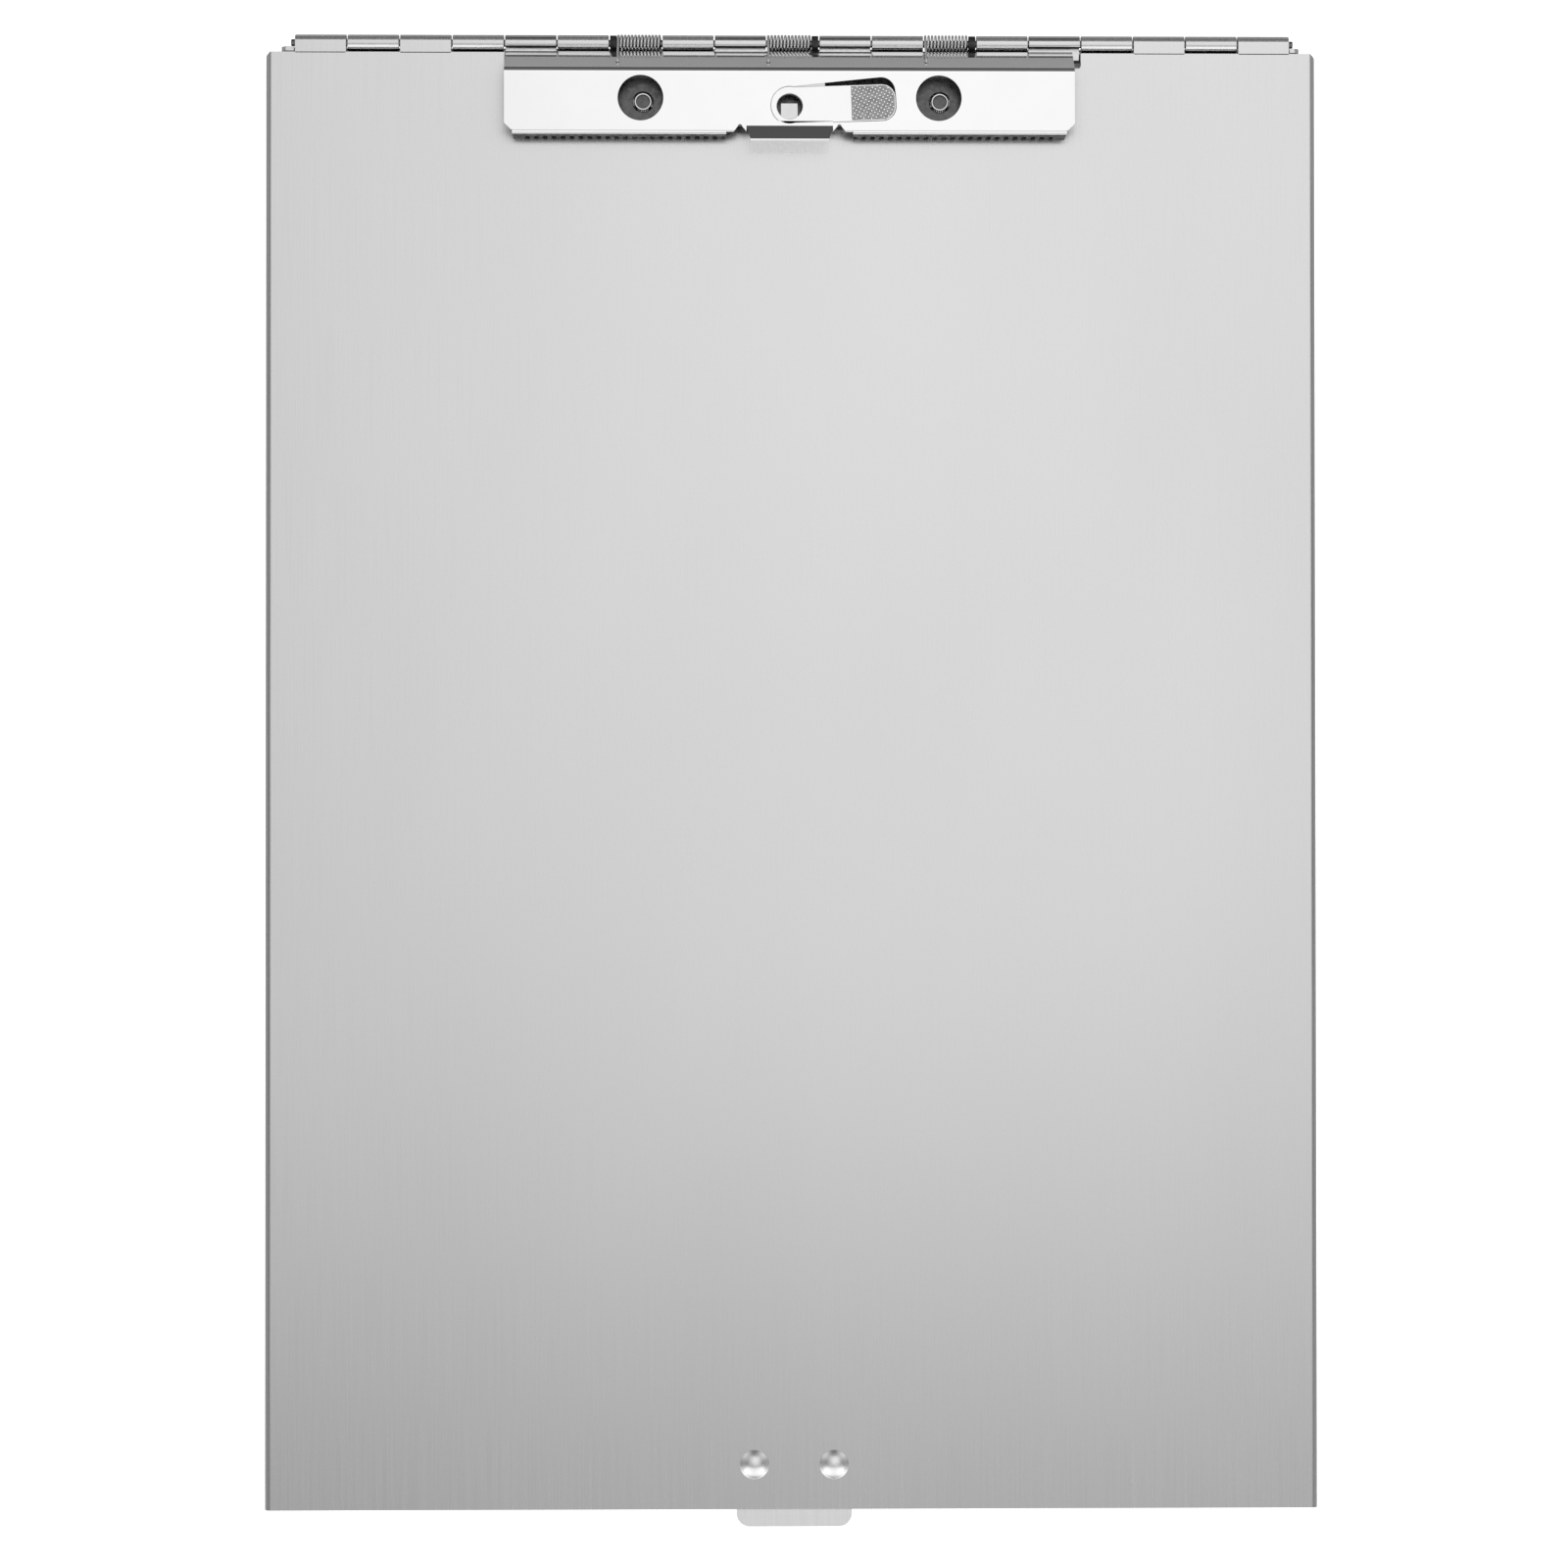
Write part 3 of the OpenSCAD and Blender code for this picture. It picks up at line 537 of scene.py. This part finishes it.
base_left, base_right = place_left(places("base")[0]), place_left(places("base")[-1] + 1)
skirt = BOARD_TOP - SKIRT_H
section = (
    [(-BOX_HW, skirt)]
    + arc(-BOX_HW + BEND_R, BOARD_TOP - BEND_R, BEND_R, 180, 90, 10)
    + arc(BOX_HW - BEND_R, BOARD_TOP - BEND_R, BEND_R, 90, 0, 10)
    + [(BOX_HW, skirt), (BOX_HW - SHEET, skirt)]
    + arc(BOX_HW - BEND_R, BOARD_TOP - BEND_R, BEND_R - SHEET, 0, 90, 6)
    + arc(-BOX_HW + BEND_R, BOARD_TOP - BEND_R, BEND_R - SHEET, 90, 180, 6)
    + [(-BOX_HW + SHEET, skirt)]
)
board = along_y(section, SHOULDER, BOARD_FRONT + 0.3)
bend_low = BOARD_UNDER - BEND_R
slant = along_x(
    [
        (BOARD_FRONT, BOARD_TOP + 5),
        (BOARD_FRONT, bend_low),
        (BOARD_FRONT + FRONT_LEAN, bend_low - 5),
        (BOARD_FRONT + 5, bend_low - 5),
        (BOARD_FRONT + 5, BOARD_TOP + 5),
    ],
    -BOX_HW - 11,
    BOX_HW + 11,
)
corners = [along_z(diamond(CORNER_CUT), -20, 20, s * BOX_HW, SHOULDER) for s in (-1, 1)]
slots = [
    block(place_left(i), place_left(i + 1), -1, CLIP_NOTCH, 0, 5) for i in places("base")
]
cut(board, slant, *corners, block(base_left, base_right, -1, CLIP_EDGE, 0, 5), *slots)
rounded(board, SHEET_EDGE)
rolled = (
    [(SHOULDER + 0.3, BOARD_TOP)]
    + arc(0, 0, KNUCKLE_R, 90, 345, 40)
    + arc(0, 0, BORE_R, 345, 90, 32)
    + [(SHOULDER + 0.3, BOARD_UNDER)]
)
board = smooth(join([board, *knuckles("board", rolled, KNUCKLE_EDGE)]))
finish_piece(board, "writing_board", BOARD, "board", "board_sheet", "board")

# ---- tray ----

front, back = BOARD_FRONT - FRONT_GAP, BORE_R


def pan(hw, f0, f1, z0, z1, r):
    """An open box whose bottom edges are bent to a radius."""
    side = [(-hw, z1)] + arc(-hw + r, z0 + r, r, 180, 270, 8)
    side += arc(hw - r, z0 + r, r, 270, 360, 8) + [(hw, z1)]
    length = [(f0, z1)] + arc(f0 + r, z0 + r, r, 180, 270, 8)
    length += arc(f1 - r, z0 + r, r, 270, 360, 8) + [(f1, z1)]
    across = along_x(length, -hw - 1, hw + 1)
    return boolean(along_y(side, f0 - 1, f1 + 1), [across], "INTERSECT")


tray = pan(TRAY_HW, back, front, -PIN_Z, WALL_TOP - PIN_Z, BEND_R)
cut(
    tray,
    pan(TRAY_HW - SHEET, back + SHEET, front - SHEET, SHEET - PIN_Z, 5, BEND_R - SHEET),
)
row_left, row_right = HINGE_X0 - KNUCKLE_GAP / 2, HINGE_X0 + HINGE_W + KNUCKLE_GAP / 2
wall = WALL_TOP - PIN_Z
back_wall = (back - 0.5, back + SHEET + 0.1)
front_wall = (front - SHEET - 0.02, front + 1)
cuts = [block(row_left, row_right, *back_wall, NOTCH_Z, 5)]
for name in SPRINGS:
    leg_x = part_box(name)[0].x / MM
    cuts.append(block(leg_x - 0.4, leg_x + 1, *back_wall, LEG_SLOT_Z, 5))
for s in (-1, 1):
    slit = s * (TRAY_HW - SHEET - SLIT_HW)
    cuts.append(block(slit - SLIT_HW, slit + SLIT_HW, *front_wall, BEND_R - PIN_Z, 5))
    near, far = sorted((s * (TRAY_HW - 2), s * (TRAY_HW + 2)))
    cuts.append(block(near, far, -REAR_CLEAR, REAR_CLEAR, -20, 5))
    cuts.append(along_y(diamond(CORNER_CUT, s * (TRAY_HW - 2), wall), -0.5, 2.3))
latch_gap = (FRONT_X - LATCH_HW, FRONT_X + LATCH_HW)
cuts.append(block(*latch_gap, *front_wall, LATCH_Z - PIN_Z, 5))
bead_gap = (FRONT_X - BEAD_HW, FRONT_X + BEAD_HW)
cuts.append(block(*bead_gap, *front_wall, BEAD_LOW - PIN_Z, BEAD_HIGH - PIN_Z))
cut(tray, *cuts)
rounded(tray, SHEET_EDGE)
rolled = (
    [(KNUCKLE_R, NOTCH_Z - 0.3)]
    + arc(0, 0, KNUCKLE_R, 0, 285, 44)
    + arc(0, 0, BORE_R, 285, 0, 36)
    + [(BORE_R, NOTCH_Z - 0.3)]
)
tray = smooth(join([tray, *knuckles("tray", rolled, KNUCKLE_EDGE)]))
finish_piece(tray, "storage_tray", TRAY, "tray", "tray_sheet", "tray")

# ---- base plate of the clip ----

plate_low, plate_top = BOARD_TOP, BOARD_TOP + SHEET
base = along_x(
    [
        (CLIP_NOTCH, plate_low),
        (PLATE_FRONT, plate_low),
        (PLATE_FRONT, plate_top),
        (CLIP_NOTCH, plate_top),
    ],
    CLIP_X - CLIP_HW + PLATE_IN,
    CLIP_X + CLIP_HW - PLATE_IN,
)
fuse(base, block(CLIP_X - NOSE_HW, CLIP_X + NOSE_HW, 16, NOSE_FRONT, plate_low, plate_top))
rounded(base, 0.1)
rolled = (
    arc(0, 0, KNUCKLE_R, 64, 270, 34)
    + arc(*DIP_AT, BEND_OUT, 270, 360, 8)
    + arc(*RISE_AT, BEND_IN, 180, 90, 4)
    + [(PLATE_REAR, plate_low), (PLATE_REAR, plate_top)]
    + arc(*RISE_AT, BEND_OUT, 90, 180, 8)
    + arc(*DIP_AT, BEND_IN, 360, 270, 4)
    + arc(0, 0, BORE_R, 270, 64, 28)
)
base = smooth(join([base, *knuckles("base", rolled, 0.08)]))
finish_piece(base, "clip_base_plate", PLATED, "board", "plated_steel", "base_plate")
# painted shade: the plate's part under the clip is painted dark
paint(base, PLATE_PAINTED_SHADE, lambda x, f, z: f > SHADE_PAINTED_FROM)

# ---- clip ----

under = CLIP_TOP - CLIP_T
tangent = (FLAT_REAR - REAR_R * sind(SLOPE), CLIP_TOP - REAR_R * (1 - cosd(SLOPE)))
slope_len = (tangent[1] - BOARD_TOP - FOOT_GAP) / sind(SLOPE)


def on_slope(s, h):
    """Point s up the clip's rear face from its foot, lifted off it by h."""
    return (
        tangent[0] + (s - slope_len) * cosd(SLOPE) - h * sind(SLOPE),
        tangent[1] + (s - slope_len) * sind(SLOPE) + h * cosd(SLOPE),
    )


def lever_plan(angle, grow):
    """Outline of the lever round its pivot, grown by a clearance."""
    half, tip_r, eye_r = LEVER_HW + grow, TIP_R + grow, EYE_R + grow
    meet = math.degrees(math.asin(half / eye_r))
    inner = LEVER_LEN - TIP_R
    outline = (
        arc(0, LEVER_OFF, eye_r, meet, 360 - meet, 60)
        + arc(inner, LEVER_OFF - TIP_IN, tip_r, 270, 360, 20)
        + arc(inner, LEVER_OFF + TIP_IN, tip_r, 0, 90, 20)
    )
    c, s = cosd(angle), sind(angle)
    return [(x * c - y * s, x * s + y * c) for x, y in outline]


def lever_window(angle):
    """What the lever sweeps in the clip's top at an angle, with room round it."""
    return along_z(lever_plan(angle, LEVER_GAP), under - 1, CLIP_TOP + 1, CLIP_X, LEVER_REACH)


profile = (
    [on_slope(0, 0)]
    + arc(FLAT_REAR, CLIP_TOP - REAR_R, REAR_R, 90 + SLOPE, 90, 14)
    + arc(FLAT_FRONT, CLIP_TOP - FRONT_R, FRONT_R, 90, 0, 8)
    + [(CLIP_REACH, LIP_TOP), (CLIP_REACH + LIP_OUT, LIP_FOOT), (CLIP_REACH - LIP_IN, LIP_FOOT)]
    + [(CLIP_REACH - CLIP_T, LIP_TOP)]
    + arc(FLAT_FRONT, CLIP_TOP - FRONT_R, FRONT_R - CLIP_T, 0, 90, 3)
    + arc(FLAT_REAR, CLIP_TOP - REAR_R, REAR_R - CLIP_T, 90, 90 + SLOPE, 12)
    + [on_slope(0, -CLIP_T)]
)
clip = along_x(profile, CLIP_X - CLIP_HW, CLIP_X + CLIP_HW)
tab_room = (CLIP_X - COMB_X, CLIP_X + COMB_X)
cuts = [
    block(*tab_room, ROOM_FRONT, 30, 0, 20),
    block(*tab_room, FLAT_FRONT - 0.2, 30, 0, under),
    block(CLIP_X - TAB_HW, CLIP_X + TAB_HW, TAB_CREASE - CREASE_IN, 30, 0, 20),
]
for s in (-1, 1):
    near, far = sorted((CLIP_X + s * (CLIP_HW - CORNER_IN), CLIP_X + s * 70))
    cuts.append(block(near, far, FLAT_FRONT, 30, 0, 20))
    cuts.append(along_z(diamond(CLIP_CORNER), 0, 20, CLIP_X + s * CLIP_HW, FLAT_FRONT))
    # the relief beside the tab: a slot with a round end
    relief_x = s * (TAB_HW + RELIEF_HW)
    relief = arc(relief_x, CREASE_IN - TAB_CREASE - RELIEF_R, RELIEF_R, 0, 180, 16)
    relief += [
        (relief_x - RELIEF_HW, -ROOM_FRONT),
        (relief_x - RELIEF_HW, -30),
        (relief_x + RELIEF_HW, -30),
        (relief_x + RELIEF_HW, -ROOM_FRONT),
    ]
    cuts.append(along_z(relief, 0, 20, CLIP_X, 0))
for x in RIVET_XS:
    cuts.append(drill(x + CLIP_X, RIVET_REACH, ACCESS_R, under - 1, CLIP_TOP + 1, 128))
cuts.append(lever_window(LEVER_TILT))
cut(clip, *cuts)
for swing in (LEVER_SWING / 2, LEVER_SWING):
    cut(clip, lever_window(LEVER_TILT + swing))

# gaps of the comb
cuts = []
for s in (-1, 1):
    for i in range(TEETH):
        x = CLIP_X + s * (COMB_X + GAP_W / 2 + i * PITCH)
        top = GAP_TOP - GAP_W / 2
        gap = [(x - GAP_W / 2, 0), (x + GAP_W / 2, 0)]
        gap += [(x + u, v) for u, v in arc(0, top, GAP_W / 2, 0, 180, 12)]
        cuts.append(along_y(gap, FLAT_FRONT - 0.55, 24))
cut(clip, join(cuts))

# finger tab, its bend and its rounded free edge
half_t = CLIP_T / 2
bend_at = (TAB_ROOT + 0.9, CLIP_TOP + TAB_R)
top_end = (
    bend_at[0] + TAB_R * cosd(TAB_RISE - 90) + TAB_LEN * cosd(TAB_RISE),
    bend_at[1] + TAB_R * sind(TAB_RISE - 90) + TAB_LEN * sind(TAB_RISE),
)
edge_mid = (top_end[0] + half_t * sind(TAB_RISE), top_end[1] - half_t * cosd(TAB_RISE))
tab_profile = (
    [(TAB_ROOT, CLIP_TOP)]
    + arc(*bend_at, TAB_R, -90, TAB_RISE - 90, 6)
    + arc(*edge_mid, half_t, TAB_RISE + 90, TAB_RISE - 90, 8)
    + arc(*bend_at, TAB_R + CLIP_T, TAB_RISE - 90, -90, 8)
    + [(TAB_ROOT, under)]
)
tab = along_x(tab_profile, CLIP_X - TAB_HW, CLIP_X + TAB_HW)
for s in (-1, 1):
    taper = [
        (s * TAB_HW, -TAB_CREASE),
        (s * (TAB_HW - TAPER), -TAB_END),
        (s * (TAB_HW + 3), -TAB_END),
        (s * (TAB_HW + 3), -TAB_CREASE),
    ]
    cut(tab, along_z(taper, 5, 15, CLIP_X, 0))
fuse(clip, tab)

# ears on the pin, and the holes of the springs' upper legs
coil_boxes = {name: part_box(name) for name in SPRINGS}
ears = []
holes = []
coil_left = {}
for name, (place, side) in SPRINGS.items():
    coil_low, coil_high = coil_boxes[name]
    left = coil_low.x / MM + SOLID_WIRE_R
    coil_left[name] = left
    gap = (PLACE_W - EAR_W - (coil_high.x - coil_low.x) / MM) / 3
    ear_x = place_left(place) + gap if side < 0 else place_left(place + 1) - gap - EAR_W
    ear = along_x(arc(0, 0, EAR_R, 0, 360 * 47 / 48, 47), ear_x, ear_x + EAR_W)
    strip = along_x(
        [on_slope(-2, 0), on_slope(0.5, 0), on_slope(0.5, -CLIP_T), on_slope(-2, -CLIP_T)],
        ear_x,
        ear_x + EAR_W,
    )
    fuse(ear, strip)
    bore = along_x(arc(0, 0, BORE_R, 0, 360 * 39 / 40, 39), ear_x - 1, ear_x + EAR_W + 1)
    cut(ear, bore)
    ears.append(ear)
    through = [on_slope(LEG_CLIMB, h) for h in (2, -3)]
    holes.append(tube([(left, PIN_Y - f, PIN_Z + z) for f, z in through], LEG_HOLE_R, 32))
fuse(clip, *ears)
cut(clip, *holes)
rounded(clip, 0.09)
smooth(clip)
finish_piece(clip, "spring_clip", CHROME, "clip", "clip_chrome", "clip_plate")


def painted_shade_faces(x, f, z):
    """The ears, and the front face on either side of the tab: the faces painted dark as painted
    shade.
    """
    front_face = f > CLIP_REACH - CLIP_T and z < 8
    return f < 2 or front_face and abs(x - CLIP_X) > TAB_HW + 1


# painted shade on the ears and the front face
paint(clip, CLIP_PAINTED_SHADE, painted_shade_faces)

# ---- lever ----

seat = under + 0.05
plan = lever_plan(LEVER_TILT, 0)
lever = along_z(plan, seat, CLIP_TOP, CLIP_X, LEVER_REACH)
fuse(lever, drill(CLIP_X, LEVER_REACH, COLLAR_R, seat - COLLAR_H, seat + 0.4, 80))
flange_low = seat - COLLAR_H - 0.05
fuse(lever, drill(CLIP_X, LEVER_REACH, FLANGE_R, flange_low, flange_low + FLANGE_H, 80))
cut(lever, drill(CLIP_X, LEVER_REACH, LEVER_BORE_R, 0, 20))
rounded(lever, 0.12, 3)

# thumb pad: rows of small pyramids with blunt tips, on a thin patch
turn = Matrix.Rotation(math.radians(LEVER_TILT), 2)


def on_pad(u, v):
    """Whether a pyramid at u along the lever and v across it stands on the pad."""
    v -= LEVER_OFF
    if not LEVER_LEN - PAD_FROM <= u <= LEVER_LEN - PAD_TO or abs(v) > PAD_HW:
        return False
    du, dv = u - (LEVER_LEN - TIP_R), abs(v) - TIP_IN
    return not (du > 0 and dv > 0 and math.hypot(du, dv) > PAD_CORNER)


def pyramid(bm, u, v):
    """Adds one blunt pyramid to bm, at u along the lever and v across it."""
    rings = []
    for z, size in ((CLIP_TOP - 0.03, PAD_W), (CLIP_TOP + PAD_H, PAD_W * PAD_TIP)):
        ring = []
        for k in range(4):
            way = 90 * k + PAD_TURN
            at = turn @ Vector((u + size * cosd(way), v + size * sind(way)))
            corner = Vector((CLIP_X + at.x, PIN_Y - LEVER_REACH + at.y, PIN_Z + z))
            ring.append(bm.verts.new(corner * MM))
        rings.append(ring)
    low, high = rings
    bm.faces.new(low)
    bm.faces.new(high)
    for k in range(4):
        bm.faces.new((low[k], low[(k + 1) % 4], high[(k + 1) % 4], high[k]))


pad = bmesh.new()
for i in range(-40, 60):
    for j in range(-40, 60):
        a, b = i * PAD_PITCH, j * PAD_PITCH
        u, v = 0.866 * a + 0.5 * b + 14.0, 0.866 * b - 0.5 * a
        if on_pad(u, v):
            pyramid(pad, u, v)
knurl = from_bmesh(pad)
far, side = LEVER_LEN - TIP_R, TIP_IN + PATCH_R
patch = [(LEVER_LEN - 10, LEVER_OFF - side), (far + 1.0, LEVER_OFF - side)]
patch += arc(far, LEVER_OFF - TIP_IN, PATCH_R, -70, 0, 12)
patch += arc(far, LEVER_OFF + TIP_IN, PATCH_R, 0, 70, 12)
patch += [(far + 1.0, LEVER_OFF + side), (LEVER_LEN - 10, LEVER_OFF + side)]
patch = [tuple(turn @ Vector(p)) for p in patch]
patch = along_z(patch, CLIP_TOP - 0.05, CLIP_TOP + 0.03, CLIP_X, LEVER_REACH)
knurl = join([knurl, patch])
smooth(lever)
finish_piece(lever, "clip_lever", LEVER, "lever", "lever_chrome", "lever")
# painted shade: the knurl's sides and hollows take the darker chrome, and only its tips keep the
# lever's bright chrome
finish_piece(knurl, "clip_lever_knurl", KNURL_PAINTED_SHADE, "lever", "lever_chrome")
paint(knurl, LEVER, lambda x, f, z: z > CLIP_TOP + PAD_H * 0.9)

# ---- springs ----


def quad(p, a, b, n):
    """A bend at p from p + a to p + b."""
    points = []
    for i in range(n + 1):
        u = i / n
        points.append(
            tuple(
                (1 - u) ** 2 * (p[k] + a[k]) + 2 * u * (1 - u) * p[k] + u * u * (p[k] + b[k])
                for k in range(2)
            )
        )
    return points


# the upper leg comes out of its hole, bends over the rear face and meets the turns as a tangent
leg_top = on_slope(LEG_CLIMB, 2 * LEG_BEND)
reach = math.hypot(*leg_top)
touch_at = math.degrees(math.atan2(leg_top[1], leg_top[0]) + math.acos(COIL_R / reach))
span = COIL_TURNS + (270 - touch_at) / 360
coil_len = span * COIL_PITCH
touch = (COIL_R * cosd(touch_at), COIL_R * sind(touch_at))
leg = math.dist(touch, leg_top)
along = ((touch[0] - leg_top[0]) / leg, (touch[1] - leg_top[1]) / leg)
off = (-sind(SLOPE), cosd(SLOPE))
upper = [on_slope(LEG_CLIMB, h) for h in (-1.2, -0.4, 0)]
before, after = [-LEG_BEND * c for c in off], [LEG_BEND * c for c in along]
upper += quad(leg_top, before, after, 8)
for t in (0.4, 0.7, 0.9):
    upper.append((leg_top[0] + along[0] * leg * t, leg_top[1] + along[1] * leg * t))
# the lower leg runs forward under the board and hooks up to it
lower = [(COIL_R * 0.5, -COIL_R), (COIL_R, -COIL_R), (4.0, -COIL_R)]
lower += quad((LEG_REACH, -COIL_R), (-LEG_HOOK, 0), (0, LEG_HOOK), 8) + [(LEG_REACH, 0.5)]
steps = round(span * 28)
for name in SPRINGS:
    x0 = coil_left[name]
    path = [(x0, *p) for p in upper]
    for i in range(steps + 1):
        way = touch_at + 360 * span * i / steps
        path.append((x0 + coil_len * i / steps, COIL_R * cosd(way), COIL_R * sind(way)))
    path += [(x0 + coil_len, *p) for p in lower]
    wire = tube([(x, PIN_Y - f, PIN_Z + z) for x, f, z in path], WIRE_R, 14)
    smooth(wire, 60)
    finish_piece(wire, name + "_coil", SPRING, None, "spring_steel", name)
    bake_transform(wire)

# ---- rivets, stud and latch ----

rivets = join([moved(lathe(TUBULAR), x, RIVET_REACH, plate_top) for x in RIVET_XS])
smooth(rivets, 50)
finish_piece(rivets, "tubular_rivets", PLATED, "board", "plated_steel", "base_rivets")

ball_r = (DOME_R**2 + DOME_H**2) / (2 * DOME_H)
rim_angle = math.degrees(math.asin(DOME_R / ball_r))
dome = []
for i in range(20):
    way = rim_angle * i / 20
    dome.append((ball_r * sind(way), DOME_H - ball_r * (1 - cosd(way))))
dome += DOME_FOOT
dome_xs = (FRONT_X - DOME_X, FRONT_X + DOME_X)
domes = join([moved(lathe(dome, 96), x, BOARD_FRONT - DOME_REACH, BOARD_TOP) for x in dome_xs])
smooth(domes, 60)
finish_piece(domes, "dome_head_rivets", RIVET, "board", "rivet_metal", "dome_rivets")

# the small solids keep their own shape, with broken edges
for node, name, material, body, slot_name, edge in (
    ("latch_strip", "front_latch", LATCH, "board", "latch_sheet", 0.22),
    ("lock_stud", "lock_stud_head", PLATED, "board", "plated_steel", 0.15),
    ("lever_bridge", "lever_bridge_strap", PLATED, "clip", "plated_steel", 0.1),
    # the pin's dark colour is painted shade between the spring's turns
    ("hinge_pin", "hinge_pin_rod", PIN, "tray", "pin_steel", 0.15),
):
    piece = smooth(rounded(copy_of(node), edge))
    finish_piece(piece, name, material, body, slot_name, node)

# ---- studio ----

# the floor looks white to the camera, and is grey to the metal that mirrors it
FLOOR_SIZE, FLOOR_GREY, FLOOR_WHITE, FLOOR_GLOW = 6.0, 0.5, 0.9, 0.8
bm = bmesh.new()
bmesh.ops.create_grid(bm, x_segments=1, y_segments=1, size=FLOOR_SIZE)
floor = from_bmesh(bm, "floor")
floor.location.z = -0.2 * MM
m = Nodes("floor_white")
m.shader.inputs["Base Color"].default_value = (FLOOR_GREY,) * 3 + (1,)
m.shader.inputs["Roughness"].default_value = 0.9
seen = m.tree.nodes.new("ShaderNodeLightPath")
paper = m.tree.nodes.new("ShaderNodeBsdfDiffuse")
paper.inputs["Color"].default_value = (FLOOR_WHITE,) * 3 + (1,)
glow = m.tree.nodes.new("ShaderNodeEmission")
glow.inputs["Strength"].default_value = FLOOR_GLOW
both = m.tree.nodes.new("ShaderNodeAddShader")
pick = m.tree.nodes.new("ShaderNodeMixShader")
m.link(paper.outputs["BSDF"], both.inputs[0])
m.link(glow.outputs["Emission"], both.inputs[1])
m.link(seen.outputs["Is Camera Ray"], pick.inputs["Fac"])
m.link(m.shader.outputs["BSDF"], pick.inputs[1])
m.link(both.outputs["Shader"], pick.inputs[2])
m.link(pick.outputs["Shader"], m.tree.nodes["Material Output"].inputs["Surface"])
floor.data.materials.append(m.material)


def shade(tree, value, ramp):
    """A curve through (place, strength) points, read at value."""
    step = tree.nodes.new("ShaderNodeFloatCurve")
    curve = step.mapping.curves[0]
    curve.points[0].location = ramp[0]
    curve.points[1].location = ramp[-1]
    for at in ramp[1:-1]:
        curve.points.new(*at)
    step.mapping.update()
    tree.links.new(value, step.inputs["Value"])
    return step.outputs["Value"]


def panel(name, size, location, target, radiance, across=None, along=None):
    """A soft box of a given size and brightness, turned to face a point, and shaded
    over its width and its height."""
    light = bpy.data.lights.new(name, "AREA")
    light.shape = "RECTANGLE"
    light.size, light.size_y = size
    light.energy = radiance * size[0] * size[1] * WATTS
    obj = bpy.data.objects.new(name, light)
    obj.location = location
    aim = Vector(target) - Vector(location)
    obj.rotation_euler = aim.to_track_quat("-Z", "Y").to_euler()
    bpy.context.scene.collection.objects.link(obj)
    if across and along:
        light.use_nodes = True
        tree = light.node_tree
        where = tree.nodes.new("ShaderNodeNewGeometry")
        split = tree.nodes.new("ShaderNodeSeparateXYZ")
        tree.links.new(where.outputs["Parametric"], split.inputs[0])
        over_width = shade(tree, split.outputs["X"], across)
        over_height = shade(tree, split.outputs["Y"], along)
        strength = maths(tree, "MULTIPLY", over_width, over_height)
        tree.links.new(strength, tree.nodes["Emission"].inputs["Strength"])


WATTS = 2.85  # watts for a square metre of radiance 1
ACROSS = [(0.0, 0.3), (0.2, 0.55), (0.34, 0.77), (0.485, 1.0), (0.605, 0.92), (1.0, 0.45)]
ALONG = [(0.0, 0.42), (0.09, 0.56), (0.156, 0.76), (0.216, 0.9), (0.275, 1.0), (1.0, 0.97)]
panel("overhead_softbox", (2.0, 1.7), (0.08, 0.35, 1.35), (0.08, 0.35, 0), 1.0, ACROSS, ALONG)
panel("front_softbox", (3.6, 1.5), (0, -1.15, 0.85), (0, -0.1, 0.1), 1.0)

# a room that is dark low ahead and behind, and lighter higher up, at the sides and in the corners
LOW_LIGHT, SIDE_LIGHT, SLANT_LIGHT, CORNER_LIGHT = 0.04, 0.22, 0.5, 3.0
world = bpy.data.worlds.new("studio")
bpy.context.scene.world = world
world.use_nodes = True
tree = world.node_tree
background = tree.nodes["Background"]
toward = tree.nodes.new("ShaderNodeTexCoord")
split = tree.nodes.new("ShaderNodeSeparateXYZ")
tree.links.new(toward.outputs["Generated"], split.inputs[0])
x2, y2, z2 = (maths(tree, "MULTIPLY", split.outputs[k], split.outputs[k]) for k in "XYZ")
slant, corner = maths(tree, "MULTIPLY", y2, z2), maths(tree, "MULTIPLY", x2, y2)
room = maths(tree, "MULTIPLY_ADD", x2, SIDE_LIGHT, LOW_LIGHT)
room = maths(tree, "MULTIPLY_ADD", slant, SLANT_LIGHT, room)
room = maths(tree, "MULTIPLY_ADD", corner, CORNER_LIGHT, room)
tree.links.new(room, background.inputs["Strength"])
background.inputs["Color"].default_value = (1, 1, 1, 1)

# the camera looks straight down, as the photo does, a little off the middle
LENS, SENSOR = 106.55, 36
CAMERA_AT, CAMERA_TURN = (-0.02055, -0.01512, 1.06493), (0.7606, -1.0253, -0.0339)
camera_data = bpy.data.cameras.new("camera")
camera_data.lens = LENS
camera_data.sensor_width = SENSOR
camera_data.clip_end = 20
camera = bpy.data.objects.new("camera", camera_data)
camera.location = CAMERA_AT
camera.rotation_euler = [math.radians(a) for a in CAMERA_TURN]
bpy.context.scene.collection.objects.link(camera)
bpy.context.scene.camera = camera
bpy.context.scene.view_settings.view_transform = "Standard"
bpy.context.scene.view_settings.look = "None"
